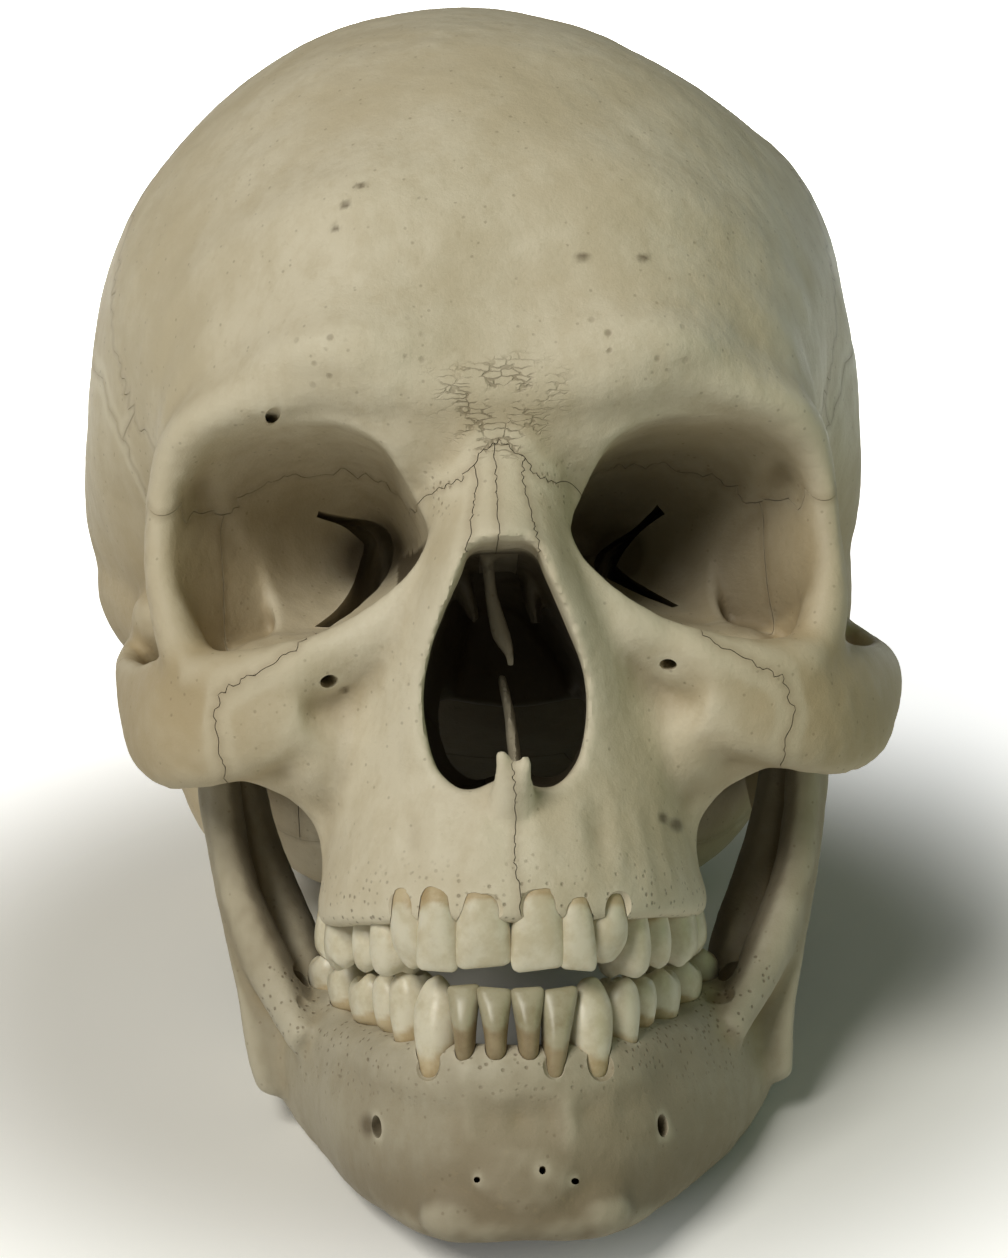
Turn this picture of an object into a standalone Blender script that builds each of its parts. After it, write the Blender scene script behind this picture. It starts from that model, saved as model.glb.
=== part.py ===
"""A life-size human skull, still, lying on a table as it would rest: on the chin and the back of the head.

The bones are modelled upright, in the Frankfurt position: x to the skull's left, y to the back, z up,
with the origin midway between the ear holes. The whole skull is tipped back at the end until chin and
occiput stand at one level, and that level is z = 0. Lengths inside the functions are in millimetres.
"""

import math
import random

import bmesh
import bpy
import numpy as np
from mathutils import Matrix

# Driving dimensions, in millimetres, in the Frankfurt position.
MM = 0.001
VAULT_BREADTH = 137.0
VAULT_CENTRE = (0.0, 10.0, 40.0)
VAULT_LEAN = -2.2
ARCH_LEAN = 2.4
JAW_LEAN = 1.2
REST_TILT = 24.7
GAP = 0.3
VOXEL = 1.2
CRANIUM_TRIANGLES = 6000
MANDIBLE_TRIANGLES = 1900
TOOTH_SIDES = 8

# Outline of the braincase in the midplane, (y, z), from the glabella over the crown to the base.
VAULT_PROFILE = [
    (-91, 36), (-90, 53), (-83, 74), (-68, 92), (-50, 103), (-20, 113), (10, 118), (36, 114),
    (60, 101), (77, 80), (87, 55), (87, 35), (81, 10), (69, -13), (54, -28), (36, -31), (8, -24),
    (-20, -14), (-45, 2), (-66, 14), (-84, 24),
]

# Opening of the left orbit seen from the front, (x, z), from the inner corner over the top.
ORBIT_OUTLINE = [
    (11.3, 14.0), (13.9, 20.5), (17.8, 27.2), (24.5, 30.6), (30.5, 31.0), (38.0, 30.6), (44.5, 28.2),
    (49.0, 23.5), (50.2, 17.0), (49.6, 8.5), (46.6, 1.8), (42.0, -1.4), (36.0, -2.0), (28.5, -0.6),
    (22.5, 2.0), (17.6, 5.0), (13.2, 9.0),
]
ORBIT_APEX = (17.0, -36.0, 17.0)

# Rim of the nasal opening, (x, z), its left half from the top of the midline to the spine.
APERTURE_OUTLINE = [
    (0.0, 11.2), (4.6, 10.8), (6.6, 6.5), (8.6, 2.0), (10.9, -4.5), (12.2, -11.0), (11.9, -17.0),
    (10.2, -22.4), (6.4, -25.4), (2.2, -24.2), (0.0, -22.5),
]

# The bones' colour and roughness.
BONE_COLOUR = (0.62, 0.56, 0.42)
BONE_ROUGHNESS = 0.55


def clear_scene():
    """Removes every object that the startup scene holds."""
    for obj in list(bpy.data.objects):
        bpy.data.objects.remove(obj)


def smoothstep(low, high, value):
    """0 below low, 1 above high, and a smooth rise between them."""
    t = np.clip((np.asarray(value, float) - low) / (high - low), 0, 1)
    return t * t * (3 - 2 * t)


def spline(points, steps, closed=False):
    """Catmull-Rom curve through the points, with steps pieces between neighbours."""
    p = np.array(points, float)
    n = len(p)
    count = n if closed else n - 1
    found = []
    for i in range(count):
        if closed:
            a, b, c, d = (p[(i + k) % n] for k in (-1, 0, 1, 2))
        else:
            a, b, c, d = (p[min(max(i + k, 0), n - 1)] for k in (-1, 0, 1, 2))
        for s in range(steps):
            t = s / steps
            found.append(0.5 * (2 * b + (c - a) * t + (2 * a - 5 * b + 4 * c - d) * t**2
                                + (3 * b - a - 3 * c + d) * t**3))
    if not closed:
        found.append(p[-1])
    return np.array(found)


def make_object(name, points, faces):
    """A mesh object from points in millimetres, with its faces turned outwards."""
    mesh = bpy.data.meshes.new(name)
    mesh.from_pydata((np.asarray(points, float) * MM).tolist(), [], [list(f) for f in faces])
    shape = bmesh.new()
    shape.from_mesh(mesh)
    bmesh.ops.recalc_face_normals(shape, faces=shape.faces)
    shape.to_mesh(mesh)
    shape.free()
    obj = bpy.data.objects.new(name, mesh)
    bpy.context.scene.collection.objects.link(obj)
    return obj


def loft(name, rings):
    """A closed body through rings of as many points each, with flat ends."""
    rings = np.asarray(rings, float)
    count, sides = rings.shape[:2]
    faces = []
    for i in range(count - 1):
        for j in range(sides):
            k = (j + 1) % sides
            faces.append((i * sides + j, i * sides + k, (i + 1) * sides + k, (i + 1) * sides + j))
    faces.append(tuple(range(sides)))
    faces.append(tuple(range((count - 1) * sides, count * sides)))
    return make_object(name, rings.reshape(-1, 3), faces)


def tube(name, stations, up=(0, 0, 1), steps=4, sides=20):
    """A rod along stations (x, y, z, half width across up, half width along up)."""
    path = spline(stations, steps)
    centre, half = path[:, :3], path[:, 3:]
    ahead = np.gradient(centre, axis=0)
    ahead /= np.linalg.norm(ahead, axis=1)[:, None]
    high = np.array(up, float) - (ahead @ np.array(up, float))[:, None] * ahead
    high /= np.linalg.norm(high, axis=1)[:, None]
    wide = np.cross(ahead, high)
    turn = np.linspace(0, 2 * math.pi, sides, endpoint=False)
    rings = (centre[:, None] + wide[:, None] * (np.cos(turn)[:, None] * half[:, None, :1])
             + high[:, None] * (np.sin(turn)[:, None] * half[:, None, 1:]))
    return loft(name, rings)


def mirrored(stations):
    """The same stations on the other side of the midplane."""
    return [(-s[0], *s[1:]) for s in stations]


def ellipsoid(name, centre, radii):
    """A stretched ball."""
    shape = bmesh.new()
    bmesh.ops.create_icosphere(shape, subdivisions=4, radius=1.0)
    points = np.array([v.co[:] for v in shape.verts])
    faces = [[v.index for v in f.verts] for f in shape.faces]
    shape.free()
    return make_object(name, points * radii + np.array(centre, float), faces)


def applied(obj):
    """Replaces the object's mesh with what its modifiers make."""
    graph = bpy.context.evaluated_depsgraph_get()
    mesh = bpy.data.meshes.new_from_object(obj.evaluated_get(graph))
    old = obj.data
    obj.modifiers.clear()
    obj.data = mesh
    bpy.data.meshes.remove(old)
    return obj


def joined(name, pieces):
    """One object that holds the meshes of all the pieces, which are removed."""
    shape = bmesh.new()
    for piece in pieces:
        shape.from_mesh(piece.data)
    mesh = bpy.data.meshes.new(name)
    shape.to_mesh(mesh)
    shape.free()
    for piece in pieces:
        bpy.data.objects.remove(piece)
    obj = bpy.data.objects.new(name, mesh)
    bpy.context.scene.collection.objects.link(obj)
    return obj


def fused(obj, voxel, rounds, factor=0.5):
    """Fuses overlapping bodies into one skin of even voxels, and softens it."""
    remesh = obj.modifiers.new("fuse", "REMESH")
    remesh.mode = "VOXEL"
    remesh.voxel_size = voxel * MM
    if rounds:
        soften = obj.modifiers.new("soften", "SMOOTH")
        soften.factor = factor
        soften.iterations = rounds
    return applied(obj)


def combined(obj, other, operation):
    """Applies one Boolean to the object, and removes the other."""
    boolean = obj.modifiers.new("combine", "BOOLEAN")
    boolean.operation = operation
    boolean.solver = "MANIFOLD"
    boolean.object = other
    applied(obj)
    bpy.data.objects.remove(other)
    return obj


def points_of(obj):
    """The mesh's points in millimetres."""
    co = np.empty(len(obj.data.vertices) * 3)
    obj.data.vertices.foreach_get("co", co)
    return co.reshape(-1, 3) / MM


def set_points(obj, points):
    """Moves the mesh's points, given in millimetres."""
    obj.data.vertices.foreach_set("co", (points * MM).ravel())
    obj.data.update()


def pushed(obj, dabs, both=True):
    """Moves the skin softly. A dab is a centre, a reach and a move; both adds its mirror image."""
    points = points_of(obj)
    for centre, reach, move in dabs:
        for side in ((1, -1) if both else (1,)):
            c = np.array((centre[0] * side, *centre[1:]), float)
            m = np.array((move[0] * side, *move[1:]), float)
            away = np.sqrt((((points - c) / np.array(reach, float)) ** 2).sum(1))
            points += (1 - smoothstep(0, 1, away))[:, None] * m
            if centre[0] == 0:
                break
    set_points(obj, points)
    return obj


def eased(obj, centre, reach, rounds):
    """Draws the skin in one place towards the mean of its neighbours, to take ridges between the rods out."""
    ends = np.empty(len(obj.data.edges) * 2, dtype=np.int64)
    obj.data.edges.foreach_get("vertices", ends)
    a, b = ends.reshape(-1, 2).T
    points = points_of(obj)
    count = len(points)
    links = np.maximum(np.bincount(a, minlength=count) + np.bincount(b, minlength=count), 1)[:, None]
    away = np.sqrt((((points - np.array(centre, float)) / np.array(reach, float)) ** 2).sum(1))
    share = 0.6 * (1 - smoothstep(0.55, 1, away))[:, None]
    for _ in range(rounds):
        total = [np.bincount(a, points[b, k], count) + np.bincount(b, points[a, k], count) for k in range(3)]
        points += share * (np.stack(total, axis=1) / links - points)
    set_points(obj, points)
    return obj


def vault():
    """The braincase: its midplane outline, swung out to the sides."""
    cy, cz = VAULT_CENTRE[1:]
    outline = spline(VAULT_PROFILE, 5, closed=True) - (cy, cz)
    count = len(outline)
    swings = np.radians(np.linspace(-90, 90, 37)[1:-1])
    forward = np.clip(-outline[:, 0] / np.linalg.norm(outline, axis=1), 0, 1) ** 2
    points = [(-VAULT_BREADTH / 2, cy, cz)]
    for swing in swings:
        share = math.cos(swing) ** (1 - 0.22 * forward)
        for (y, z), s in zip(outline, share):
            points.append((VAULT_BREADTH / 2 * math.sin(swing), cy + y * s, cz + z * s))
    points.append((VAULT_BREADTH / 2, cy, cz))
    faces = []
    for i in range(len(swings) - 1):
        for j in range(count):
            k = (j + 1) % count
            faces.append((1 + i * count + j, 1 + i * count + k, 1 + (i + 1) * count + k,
                          1 + (i + 1) * count + j))
    last = len(points) - 1
    for j in range(count):
        k = (j + 1) % count
        faces.append((0, 1 + k, 1 + j))
        faces.append((last, last - count + j, last - count + k))
    return make_object("vault", points, faces)


# Level, half width, front and back of the upper jaw's block.
UPPER_JAW = [
    (-45.2, 30.4, -95.4, -47.0), (-42.0, 30.8, -95.8, -46.0), (-38.0, 29.9, -95.2, -46.0),
    (-33.5, 29.0, -93.6, -46.0), (-28.0, 28.5, -91.5, -46.0), (-20.0, 29.2, -88.5, -46.0),
    (-10.0, 32.0, -86.0, -46.0), (0.0, 35.5, -83.0, -44.0), (10.0, 36.0, -80.0, -40.0),
    (20.0, 36.0, -80.0, -36.0),
]


def half_round(width, front, back, z, sides=48):
    """A ring at one level: an arch in front, nearly square behind."""
    turn = np.linspace(0, 2 * math.pi, sides, endpoint=False)
    middle = back - 13.0
    x = width * np.cos(turn)
    y = middle + (middle - front) * np.sin(turn)
    square = np.abs(np.sin(turn)) ** 0.5
    y = np.where(np.sin(turn) > 0, middle + 13.0 * square, y)
    x = np.where(np.sin(turn) > 0, width * np.sign(np.cos(turn)) * np.abs(np.cos(turn)) ** 0.5, x)
    return np.stack([x, y, np.full(sides, z)], axis=1)


def upper_jaw():
    """The block that carries the upper teeth."""
    return loft("upper_jaw", [half_round(w, f, b, z) for z, w, f, b in spline(UPPER_JAW, 3)])


# Level, half width at the orbits, depth there, front of the ridge: the nose's bony bridge.
NOSE_BRIDGE = [
    (38.0, 16.0, -80.0, -92.0), (30.0, 12.5, -79.0, -90.5), (25.0, 11.5, -78.0, -89.0),
    (18.0, 11.5, -77.0, -92.0), (12.0, 12.5, -76.0, -96.5), (6.0, 14.5, -76.0, -99.0),
    (-2.0, 18.0, -76.0, -96.0), (-12.0, 22.0, -74.0, -91.0), (-24.0, 24.0, -72.0, -90.0),
]


def nose_bridge():
    """A roof that stands out between the orbits and widens down to the upper jaw."""
    rings = []
    for z, half, side, front in spline(NOSE_BRIDGE, 3):
        turn = np.linspace(0, 2 * math.pi, 32, endpoint=False)
        x = half * np.sin(turn)
        rise = np.clip(np.cos(turn), 0, 1) ** 1.25
        y = side - (side - front) * rise + 12 * np.clip(-np.cos(turn), 0, 1)
        rings.append(np.stack([x, y, np.full(32, z)], axis=1))
    return loft("nose_bridge", rings)


# Rods of the left side: x, y, z, half width across, half width along the second direction.
ORBIT_RIM = [
    (46.0, -70.0, -9.0, 5.0, 5.0), (50.4, -67.0, 0.0, 3.8, 5.5), (52.3, -64.5, 10.0, 3.1, 5.5),
    (52.3, -63.5, 19.0, 3.1, 6.0), (50.4, -65.5, 26.5, 3.8, 6.5), (45.2, -71.5, 33.0, 4.6, 6.5),
    (36.8, -78.0, 36.5, 5.2, 6.5), (26.0, -82.5, 38.0, 5.8, 6.5), (14.0, -85.5, 36.5, 6.2, 6.0),
    (0.0, -87.0, 36.0, 6.0, 5.0),
]
BROW_FILL = [
    (50.4, -57.0, 31.0, 4.4, 7.0), (44.2, -64.5, 42.0, 6.0, 8.5), (37.0, -71.0, 47.0, 8.2, 9.0),
    (27.0, -77.0, 49.0, 9.0, 9.0), (14.0, -80.5, 50.0, 9.0, 9.0), (0.0, -82.0, 50.0, 9.0, 8.0),
]
BROW_SLOPE = [
    (46.0, -57.5, 52.0, 6.0, 9.0), (38.0, -66.0, 58.0, 8.0, 9.0), (27.0, -73.0, 62.0, 9.0, 9.0),
    (14.0, -77.0, 64.0, 9.0, 9.0), (0.0, -78.5, 64.0, 9.0, 8.0),
]
LOWER_RIM = [
    (48.0, -70.0, -6.0, 4.5, 5.5), (40.0, -74.0, -7.5, 5.0, 5.5), (30.0, -77.5, -6.0, 5.0, 5.0),
    (22.0, -79.0, -2.5, 4.5, 5.0), (15.5, -80.0, 3.5, 4.0, 5.0), (11.8, -80.0, 12.0, 4.0, 4.5),
]
CHEEK_AND_ARCH = [
    (30.0, -77.0, -10.0, 4.5, 8.0), (40.0, -73.5, -12.0, 5.4, 10.0), (48.0, -68.5, -12.8, 5.4, 11.0),
    (54.0, -61.0, -12.6, 4.6, 10.6), (58.5, -52.0, -11.0, 3.6, 9.2), (61.6, -42.0, -7.5, 3.0, 7.0),
    (63.4, -30.0, -3.8, 2.7, 5.0), (63.2, -18.0, -1.0, 2.8, 4.8), (61.0, -7.0, 1.5, 3.8, 5.0),
    (57.0, 4.0, 3.5, 5.5, 5.5), (55.0, 14.0, 4.0, 7.0, 6.0),
]
CHEEK_CREST = [
    (43.0, -70.5, -16.5, 5.0, 5.0), (37.0, -68.5, -19.0, 4.6, 4.6), (31.0, -65.5, -23.4, 3.8, 4.2),
    (27.2, -63.0, -30.0, 3.0, 3.6), (26.6, -62.0, -38.0, 3.0, 3.6),
]
MASTOID = [
    (54.0, 16.0, 14.0, 12.0, 16.0), (54.0, 17.0, 0.0, 10.5, 14.5), (52.5, 16.5, -13.0, 9.0, 11.5),
    (51.0, 15.5, -23.0, 7.0, 8.5), (50.0, 14.0, -30.0, 4.2, 5.0),
]
ORBIT_WALL = [
    (52.0, -65.0, 10.0, 3.2, 16.0), (45.0, -54.0, 12.0, 3.4, 15.0), (38.0, -46.0, 12.0, 4.6, 16.0),
    (31.0, -36.0, 12.0, 7.0, 16.0),
]
NASAL_SPINE = [
    (0.4, -87.0, -33.0, 5.0, 3.0), (0.6, -91.5, -27.0, 3.8, 3.0), (0.8, -94.6, -22.4, 2.4, 1.8),
]
PTERYGOID = [
    (17.0, -38.0, 0.0, 4.0, 6.0), (16.0, -42.0, -14.0, 3.4, 5.5), (16.0, -44.0, -28.0, 3.2, 5.0),
    (16.5, -44.5, -37.0, 3.0, 4.0),
]


def side_rods(name, stations, up):
    """The same rod on both sides."""
    return [tube(name, stations, up), tube(name, mirrored(stations), up)]


def cranium_masses():
    """Every body that the cranium is fused from."""
    pieces = [vault(), upper_jaw(), nose_bridge()]
    pieces += side_rods("orbit_rim", ORBIT_RIM, (0, 1, 0.001))
    pieces += side_rods("brow_fill", BROW_FILL, (0, 1, 0))
    pieces += side_rods("brow_slope", BROW_SLOPE, (0, 1, 0))
    pieces += side_rods("lower_rim", LOWER_RIM, (0, 1, 0))
    pieces += side_rods("cheek", CHEEK_AND_ARCH, (0, 0, 1))
    pieces += side_rods("crest", CHEEK_CREST, (0, 1, 0))
    pieces += side_rods("orbit_wall", ORBIT_WALL, (0, 0, 1))
    pieces += side_rods("mastoid", MASTOID, (0, 1, 0))
    pieces += side_rods("pterygoid", PTERYGOID, (0, 1, 0))
    for side in (1, -1):
        pieces.append(ellipsoid("condyle", (side * 19, 6, -23), (6, 12, 7)))
        pieces.append(ellipsoid("ear_region", (side * 53, 16, 14), (13.5, 28, 20)))
        pieces.append(ellipsoid("cerebellum", (side * 24, 42, -11), (29, 27, 29.5)))
        pieces.append(ellipsoid("joint", (side * 50, -15, 6), (12, 15, 9)))
        pieces.append(ellipsoid("cheek_root", (side * 28, -66, -15.5), (9, 12, 11)))
        pieces.append(ellipsoid("brow", (side * 17, -83, 42), (20, 10, 8)))
        pieces.append(ellipsoid("orbit_floor", (side * 37, -56, -6), (8.5, 13, 7)))
    pieces.append(ellipsoid("sphenoid", (0, -38, 4), (26, 16, 14)))
    pieces.append(ellipsoid("nape", (0, 47, 2), (56, 31, 32)))
    pieces.append(tube("nasal_spine", NASAL_SPINE, (0, 1, 0)))
    return pieces


def orbit_cutter(side):
    """A cone that narrows from the orbit's rim to its apex."""
    rim = spline(ORBIT_OUTLINE, 3, closed=True)
    middle = np.array([31.0, 15.0])
    apex = np.array([ORBIT_APEX[0], ORBIT_APEX[2]])
    rings = []
    for y, wide, shift in ((-108, 1.0, 0), (-86, 1.0, 0), (-78, 1.02, 0.02), (-68, 0.97, 0.1),
                           (-58, 0.82, 0.3), (-48, 0.55, 0.6), (-41, 0.3, 0.85), (-37, 0.1, 1.0)):
        centre = middle + (apex - middle) * shift
        ring = centre + (rim - middle) * wide
        rings.append([(side * x, y, z) for x, z in ring])
    return loft("orbit_cutter", rings)


def nose_cutter():
    """The pear-shaped nasal opening, and the cavity behind it."""
    half = spline(APERTURE_OUTLINE, 3)
    other = half[::-1] * (-1, 1)
    rim = np.concatenate([half, other[1:-1]])
    centre = np.array([0.0, -8.0])
    rings = []
    for y, sx, sz in ((-112, 1.0, 1.0), (-84, 1.0, 1.0), (-80, 1.05, 1.0), (-72, 1.15, 1.0),
                      (-52, 1.1, 0.9), (-40, 0.8, 0.7)):
        ring = centre + (rim - centre) * (sx, sz)
        rings.append([(x, y, z) for x, z in ring])
    return loft("nose_cutter", rings)


def base_cutters():
    """The palate's arch, the foramen magnum and the ear holes."""
    pieces = [ellipsoid("palate", (0, -60, -47), (20, 25, 13))]
    pieces.append(tube("foramen_magnum", [(0, 19, -60, 15, 18), (0, 18, -20, 15, 18),
                                          (0, 16, 4, 15, 17)], (0, 1, 0)))
    for side in (1, -1):
        pieces.append(tube("ear_hole", [(side * 75, 2, -3, 4, 4.5), (side * 58, 1, -3, 4, 4.5),
                                        (side * 46, -1, -3, 3, 3)], (0, 0, 1)))
        pieces.append(ellipsoid("fossa", (side * 50, -11.5, -6), (11.5, 6.5, 6)))
    return pieces


CRANIUM_DABS = [
    ((62, -44, 30), (26, 28, 34), (-4, 0, 0)),
    ((64, 14, 24), (30, 46, 30), (3.5, 0, 0)),
    ((0, -10, 120), (80, 80, 22), (0, 0, 1.2)),
    ((60, -20, 84), (34, 40, 34), (1.5, 0, 1.0)),
    ((24, -84, -10), (9, 14, 11), (0, 3.0, 0)),
    ((0, -92, 50), (22, 14, 12), (0, 1.5, 0)),
    ((27, -88, 66), (26, 22, 22), (0, -2.2, 0)),
    ((58, 25, 76), (36, 44, 38), (4.0, 0, 2.5)),
    ((0, -20, 120), (70, 60, 10), (0, 0, 0.8)),
]


# Where the real skull bulges on one side only.
ONE_SIDED_DABS = [
    ((-34, -25, 106), (44, 60, 26), (-0.5, 0, 1.8)),
    ((62, -5, 84), (30, 50, 30), (2.0, 0, 0)),
]


def cranium():
    """The cranium in one piece."""
    obj = fused(joined("cranium", cranium_masses()), VOXEL, 9)
    eased(obj, (0, -72, 66), (70, 48, 32), 60)
    pushed(obj, CRANIUM_DABS)
    pushed(obj, ONE_SIDED_DABS, both=False)
    for cutter in (orbit_cutter(1), orbit_cutter(-1), nose_cutter(), *base_cutters()):
        combined(obj, cutter, "DIFFERENCE")
    return fused(obj, VOXEL, 5)


# The jaw's body, from the chin to behind the last molar.
JAW_BODY = [
    (0.0, -85.5, -78.0, 6.0, 13.5), (8.0, -84.0, -78.0, 5.8, 13.5), (15.5, -78.5, -77.0, 5.6, 13.3),
    (21.0, -70.0, -75.5, 5.6, 13.2), (26.0, -59.0, -73.0, 5.8, 13.2), (31.0, -47.0, -69.0, 5.8, 13.5),
    (36.5, -35.0, -65.0, 5.2, 12.0), (41.5, -24.0, -62.0, 4.5, 9.0),
]
JAW_RIDGE = [
    (0.0, -88.2, -68.5, 4.4, 5.8), (6.5, -87.0, -68.5, 4.4, 5.8), (12.5, -83.5, -68.5, 4.6, 6.0),
    (17.5, -77.0, -67.8, 4.6, 6.0), (20.6, -70.0, -66.6, 4.8, 5.8), (25.0, -60.0, -65.6, 5.4, 6.0),
    (29.0, -50.0, -63.6, 5.4, 6.0), (33.5, -41.0, -61.2, 4.8, 5.8), (38.0, -34.0, -60.0, 4.0, 5.0),
]
JAW_BASE = [
    (0.0, -85.5, -88.5, 5.5, 3.6), (9.0, -83.5, -88.8, 5.4, 3.6), (16.5, -75.0, -87.0, 4.8, 3.6),
    (24.0, -59.0, -82.0, 4.4, 3.6), (32.0, -40.0, -74.8, 4.0, 3.6), (38.5, -24.0, -68.5, 3.6, 3.4),
    (43.0, -13.0, -63.0, 3.2, 3.2),
]
RAMUS_OUTLINE = [
    (-44, -56), (-42.5, -44), (-40.5, -32), (-40, -20), (-41, -8), (-40, 0), (-36.5, 3), (-33.5, -2),
    (-30, -9), (-25, -14), (-20, -14), (-16.5, -10), (-14, -7), (-9, -7), (-7, -12), (-6.5, -25),
    (-6, -40), (-7, -52), (-11, -61), (-20, -67), (-32, -71), (-42, -72),
]


RAMUS_FRONT = [
    (49.0, -39.5, -4.0, 2.2, 2.4), (48.0, -40.5, -20.0, 2.9, 3.0), (46.4, -42.0, -34.0, 3.3, 3.4),
    (43.6, -43.5, -44.0, 3.8, 3.8), (40.6, -45.5, -51.0, 4.0, 4.2), (36.8, -49.0, -58.0, 3.6, 4.4),
    (33.0, -54.0, -64.0, 3.0, 4.0),
]
RAMUS_CREST = [
    (46.6, -31.5, -4.0, 2.6, 3.0), (45.2, -31.5, -18.0, 3.2, 3.2), (43.2, -31.5, -30.0, 3.8, 3.4),
    (40.6, -32.0, -40.0, 4.6, 3.8), (37.4, -34.5, -48.0, 4.8, 4.2), (34.8, -38.5, -55.0, 4.2, 4.4),
    (33.0, -43.0, -61.0, 3.8, 4.0),
]


def ramus(side):
    """The upright plate behind the teeth, with its two horns. It leans outwards."""
    outline = spline(RAMUS_OUTLINE, 2, closed=True)
    middle = outline.mean(0)
    rings = []
    for off, inset in ((-1, 1.6), (-0.75, 0.4), (0, 0), (0.75, 0.4), (1, 1.6)):
        ring = []
        for y, z in outline:
            away = np.array([y, z]) - middle
            y2, z2 = np.array([y, z]) - away / np.linalg.norm(away) * inset
            lean = np.interp(z2, [-72, -58, -41, -23, 0], [40.6, 42.2, 46.2, 49.5, 50.6])
            thick = np.interp(z2, [-70, -40, -15, 2], [3.4, 3.3, 2.9, 2.4])
            ring.append((side * (lean + off * thick), y2, z2))
        rings.append(ring)
    return loft("ramus", rings)


def mandible():
    """The lower jaw in one piece."""
    pieces = [tube("body", [*mirrored(JAW_BODY)[:0:-1], *JAW_BODY], (0, 0, 1)),
              tube("ridge", [*mirrored(JAW_RIDGE)[:0:-1], *JAW_RIDGE], (0, 0, 1)),
              tube("base", [*mirrored(JAW_BASE)[:0:-1], *JAW_BASE], (0, 0, 1))]
    for side in (1, -1):
        pieces.append(ramus(side))
        for stations in (RAMUS_FRONT, RAMUS_CREST):
            pieces.append(tube("edge", [(side * s[0], *s[1:]) for s in stations], (0, 1, 0)))
        pieces.append(tube("condyle", [(side * 43.5, -12.5, -8, 3.0, 2.6), (side * 50, -11.5, -5.6, 4.2, 3.4),
                                       (side * 57, -10.5, -7, 3.2, 2.6)], (0, 0, 1)))
        pieces.append(ellipsoid("tubercle", (side * 9.0, -84.5, -87.6), (7, 5.6, 4.8)))
    pieces.append(ellipsoid("chin", (0, -87.5, -82), (9, 5, 9)))
    return fused(joined("mandible", pieces), VOXEL, 6)


# Each tooth of the left side: the outermost point of its crown in plan (x, y), the way it faces in
# degrees from straight ahead, width, depth, level of the neck, level of the tip, and how wide and
# deep the tip still is.
UPPER_TEETH = [
    (4.3, -96.0, 4, 8.0, 6.6, -40.0, -51.9, 0.92, 0.22), (11.2, -94.3, 17, 5.9, 5.8, -40.8, -52.2, 0.8, 0.24),
    (16.9, -89.6, 36, 6.8, 7.6, -39.2, -51.6, 0.3, 0.3), (21.3, -82.6, 58, 6.6, 8.8, -42.0, -53.2, 0.45, 0.5),
    (24.3, -75.6, 70, 6.4, 8.8, -43.0, -52.3, 0.6, 0.6), (29.2, -66.8, 76, 9.6, 10.8, -42.6, -51.8, 0.85, 0.8),
    (31.2, -57.0, 82, 9.0, 10.4, -42.4, -50.6, 0.85, 0.8),
]
LOWER_TEETH = [
    (2.6, -92.6, 3, 4.8, 5.8, -64.5, -54.8, 0.95, 0.25), (7.8, -91.6, 11, 5.4, 6.0, -66.5, -54.6, 0.95, 0.25),
    (13.6, -88.2, 30, 6.7, 7.4, -68.5, -53.6, 0.4, 0.35), (18.6, -81.6, 54, 6.4, 7.6, -64.5, -53.6, 0.45, 0.5),
    (21.6, -74.6, 68, 6.4, 8.0, -61.5, -53.9, 0.7, 0.65), (26.4, -65.4, 72, 10.0, 9.8, -61.0, -53.7, 0.88, 0.8),
    (30.0, -54.8, 75, 9.6, 9.6, -59.4, -52.0, 0.88, 0.8), (33.4, -45.4, 76, 8.6, 9.0, -56.5, -50.4, 0.85, 0.8),
]

# How a tooth's width and depth change from the root's end to the cutting edge.
TOOTH_RINGS = [
    (-0.8, 0.42, 0.45), (0.0, 0.74, 0.84), (0.3, 0.9, 0.98), (0.6, 1.0, 0.98), (0.86, 1.0, 0.78),
    (1.0, None, None),
]


def tooth(stations, side, rng):
    """One tooth from the root's end, sunk in the bone, to its tip."""
    x, y, facing, width, depth, neck, tip, narrow, thin = stations
    size = 1 + rng.uniform(-0.03, 0.03)
    tall = (tip - neck) * (1 + rng.uniform(-0.03, 0.03))
    facing = math.radians(facing + rng.uniform(-4, 4))
    out = np.array([math.sin(facing), -math.cos(facing)])
    along = np.array([math.cos(facing), math.sin(facing)])
    turn = np.linspace(0, 2 * math.pi, TOOTH_SIDES, endpoint=False)
    across = np.sign(np.cos(turn)) * np.abs(np.cos(turn)) ** 0.75
    deep = np.sign(np.sin(turn)) * np.abs(np.sin(turn)) ** 0.85
    rings = []
    for level, wide, thick in TOOTH_RINGS:
        wide = narrow if wide is None else wide
        thick = thin if thick is None else thick
        inward = 0.5 + 0.08 * (1 - max(level, 0)) + 0.3 * max(-level, 0)
        centre = np.array([x, y]) - out * depth * inward
        plan = (centre + along * (across * wide * width * size / 2)[:, None]
                + out * (deep * thick * depth / 2)[:, None])
        rings.append([(side * p[0], p[1], neck + tall * level) for p in plan])
    return loft("tooth", rings)


# The thin plate that parts the nose, seen from the side, (y, z), with the notch in its front edge.
SEPTUM_OUTLINE = [
    (-73, 14), (-73, 2), (-71, -5.5), (-66, -4), (-60, -1), (-54, -8), (-60, -14), (-72, -19.5), (-83, -26),
    (-60, -28), (-43, -28), (-43, 14),
]


def toothed(obj, table, seed):
    """Unites the jaw with its teeth, all at once."""
    rng = random.Random(seed)
    teeth = bpy.data.collections.new("teeth")
    for side in (1, -1):
        for stations in table:
            teeth.objects.link(leaned(tooth(stations, side, rng)))
    unite = obj.modifiers.new("teeth", "BOOLEAN")
    unite.operation = "UNION"
    unite.solver = "MANIFOLD"
    unite.operand_type = "COLLECTION"
    unite.collection = teeth
    applied(obj)
    for item in list(teeth.objects):
        bpy.data.objects.remove(item)
    bpy.data.collections.remove(teeth)
    return obj


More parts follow.
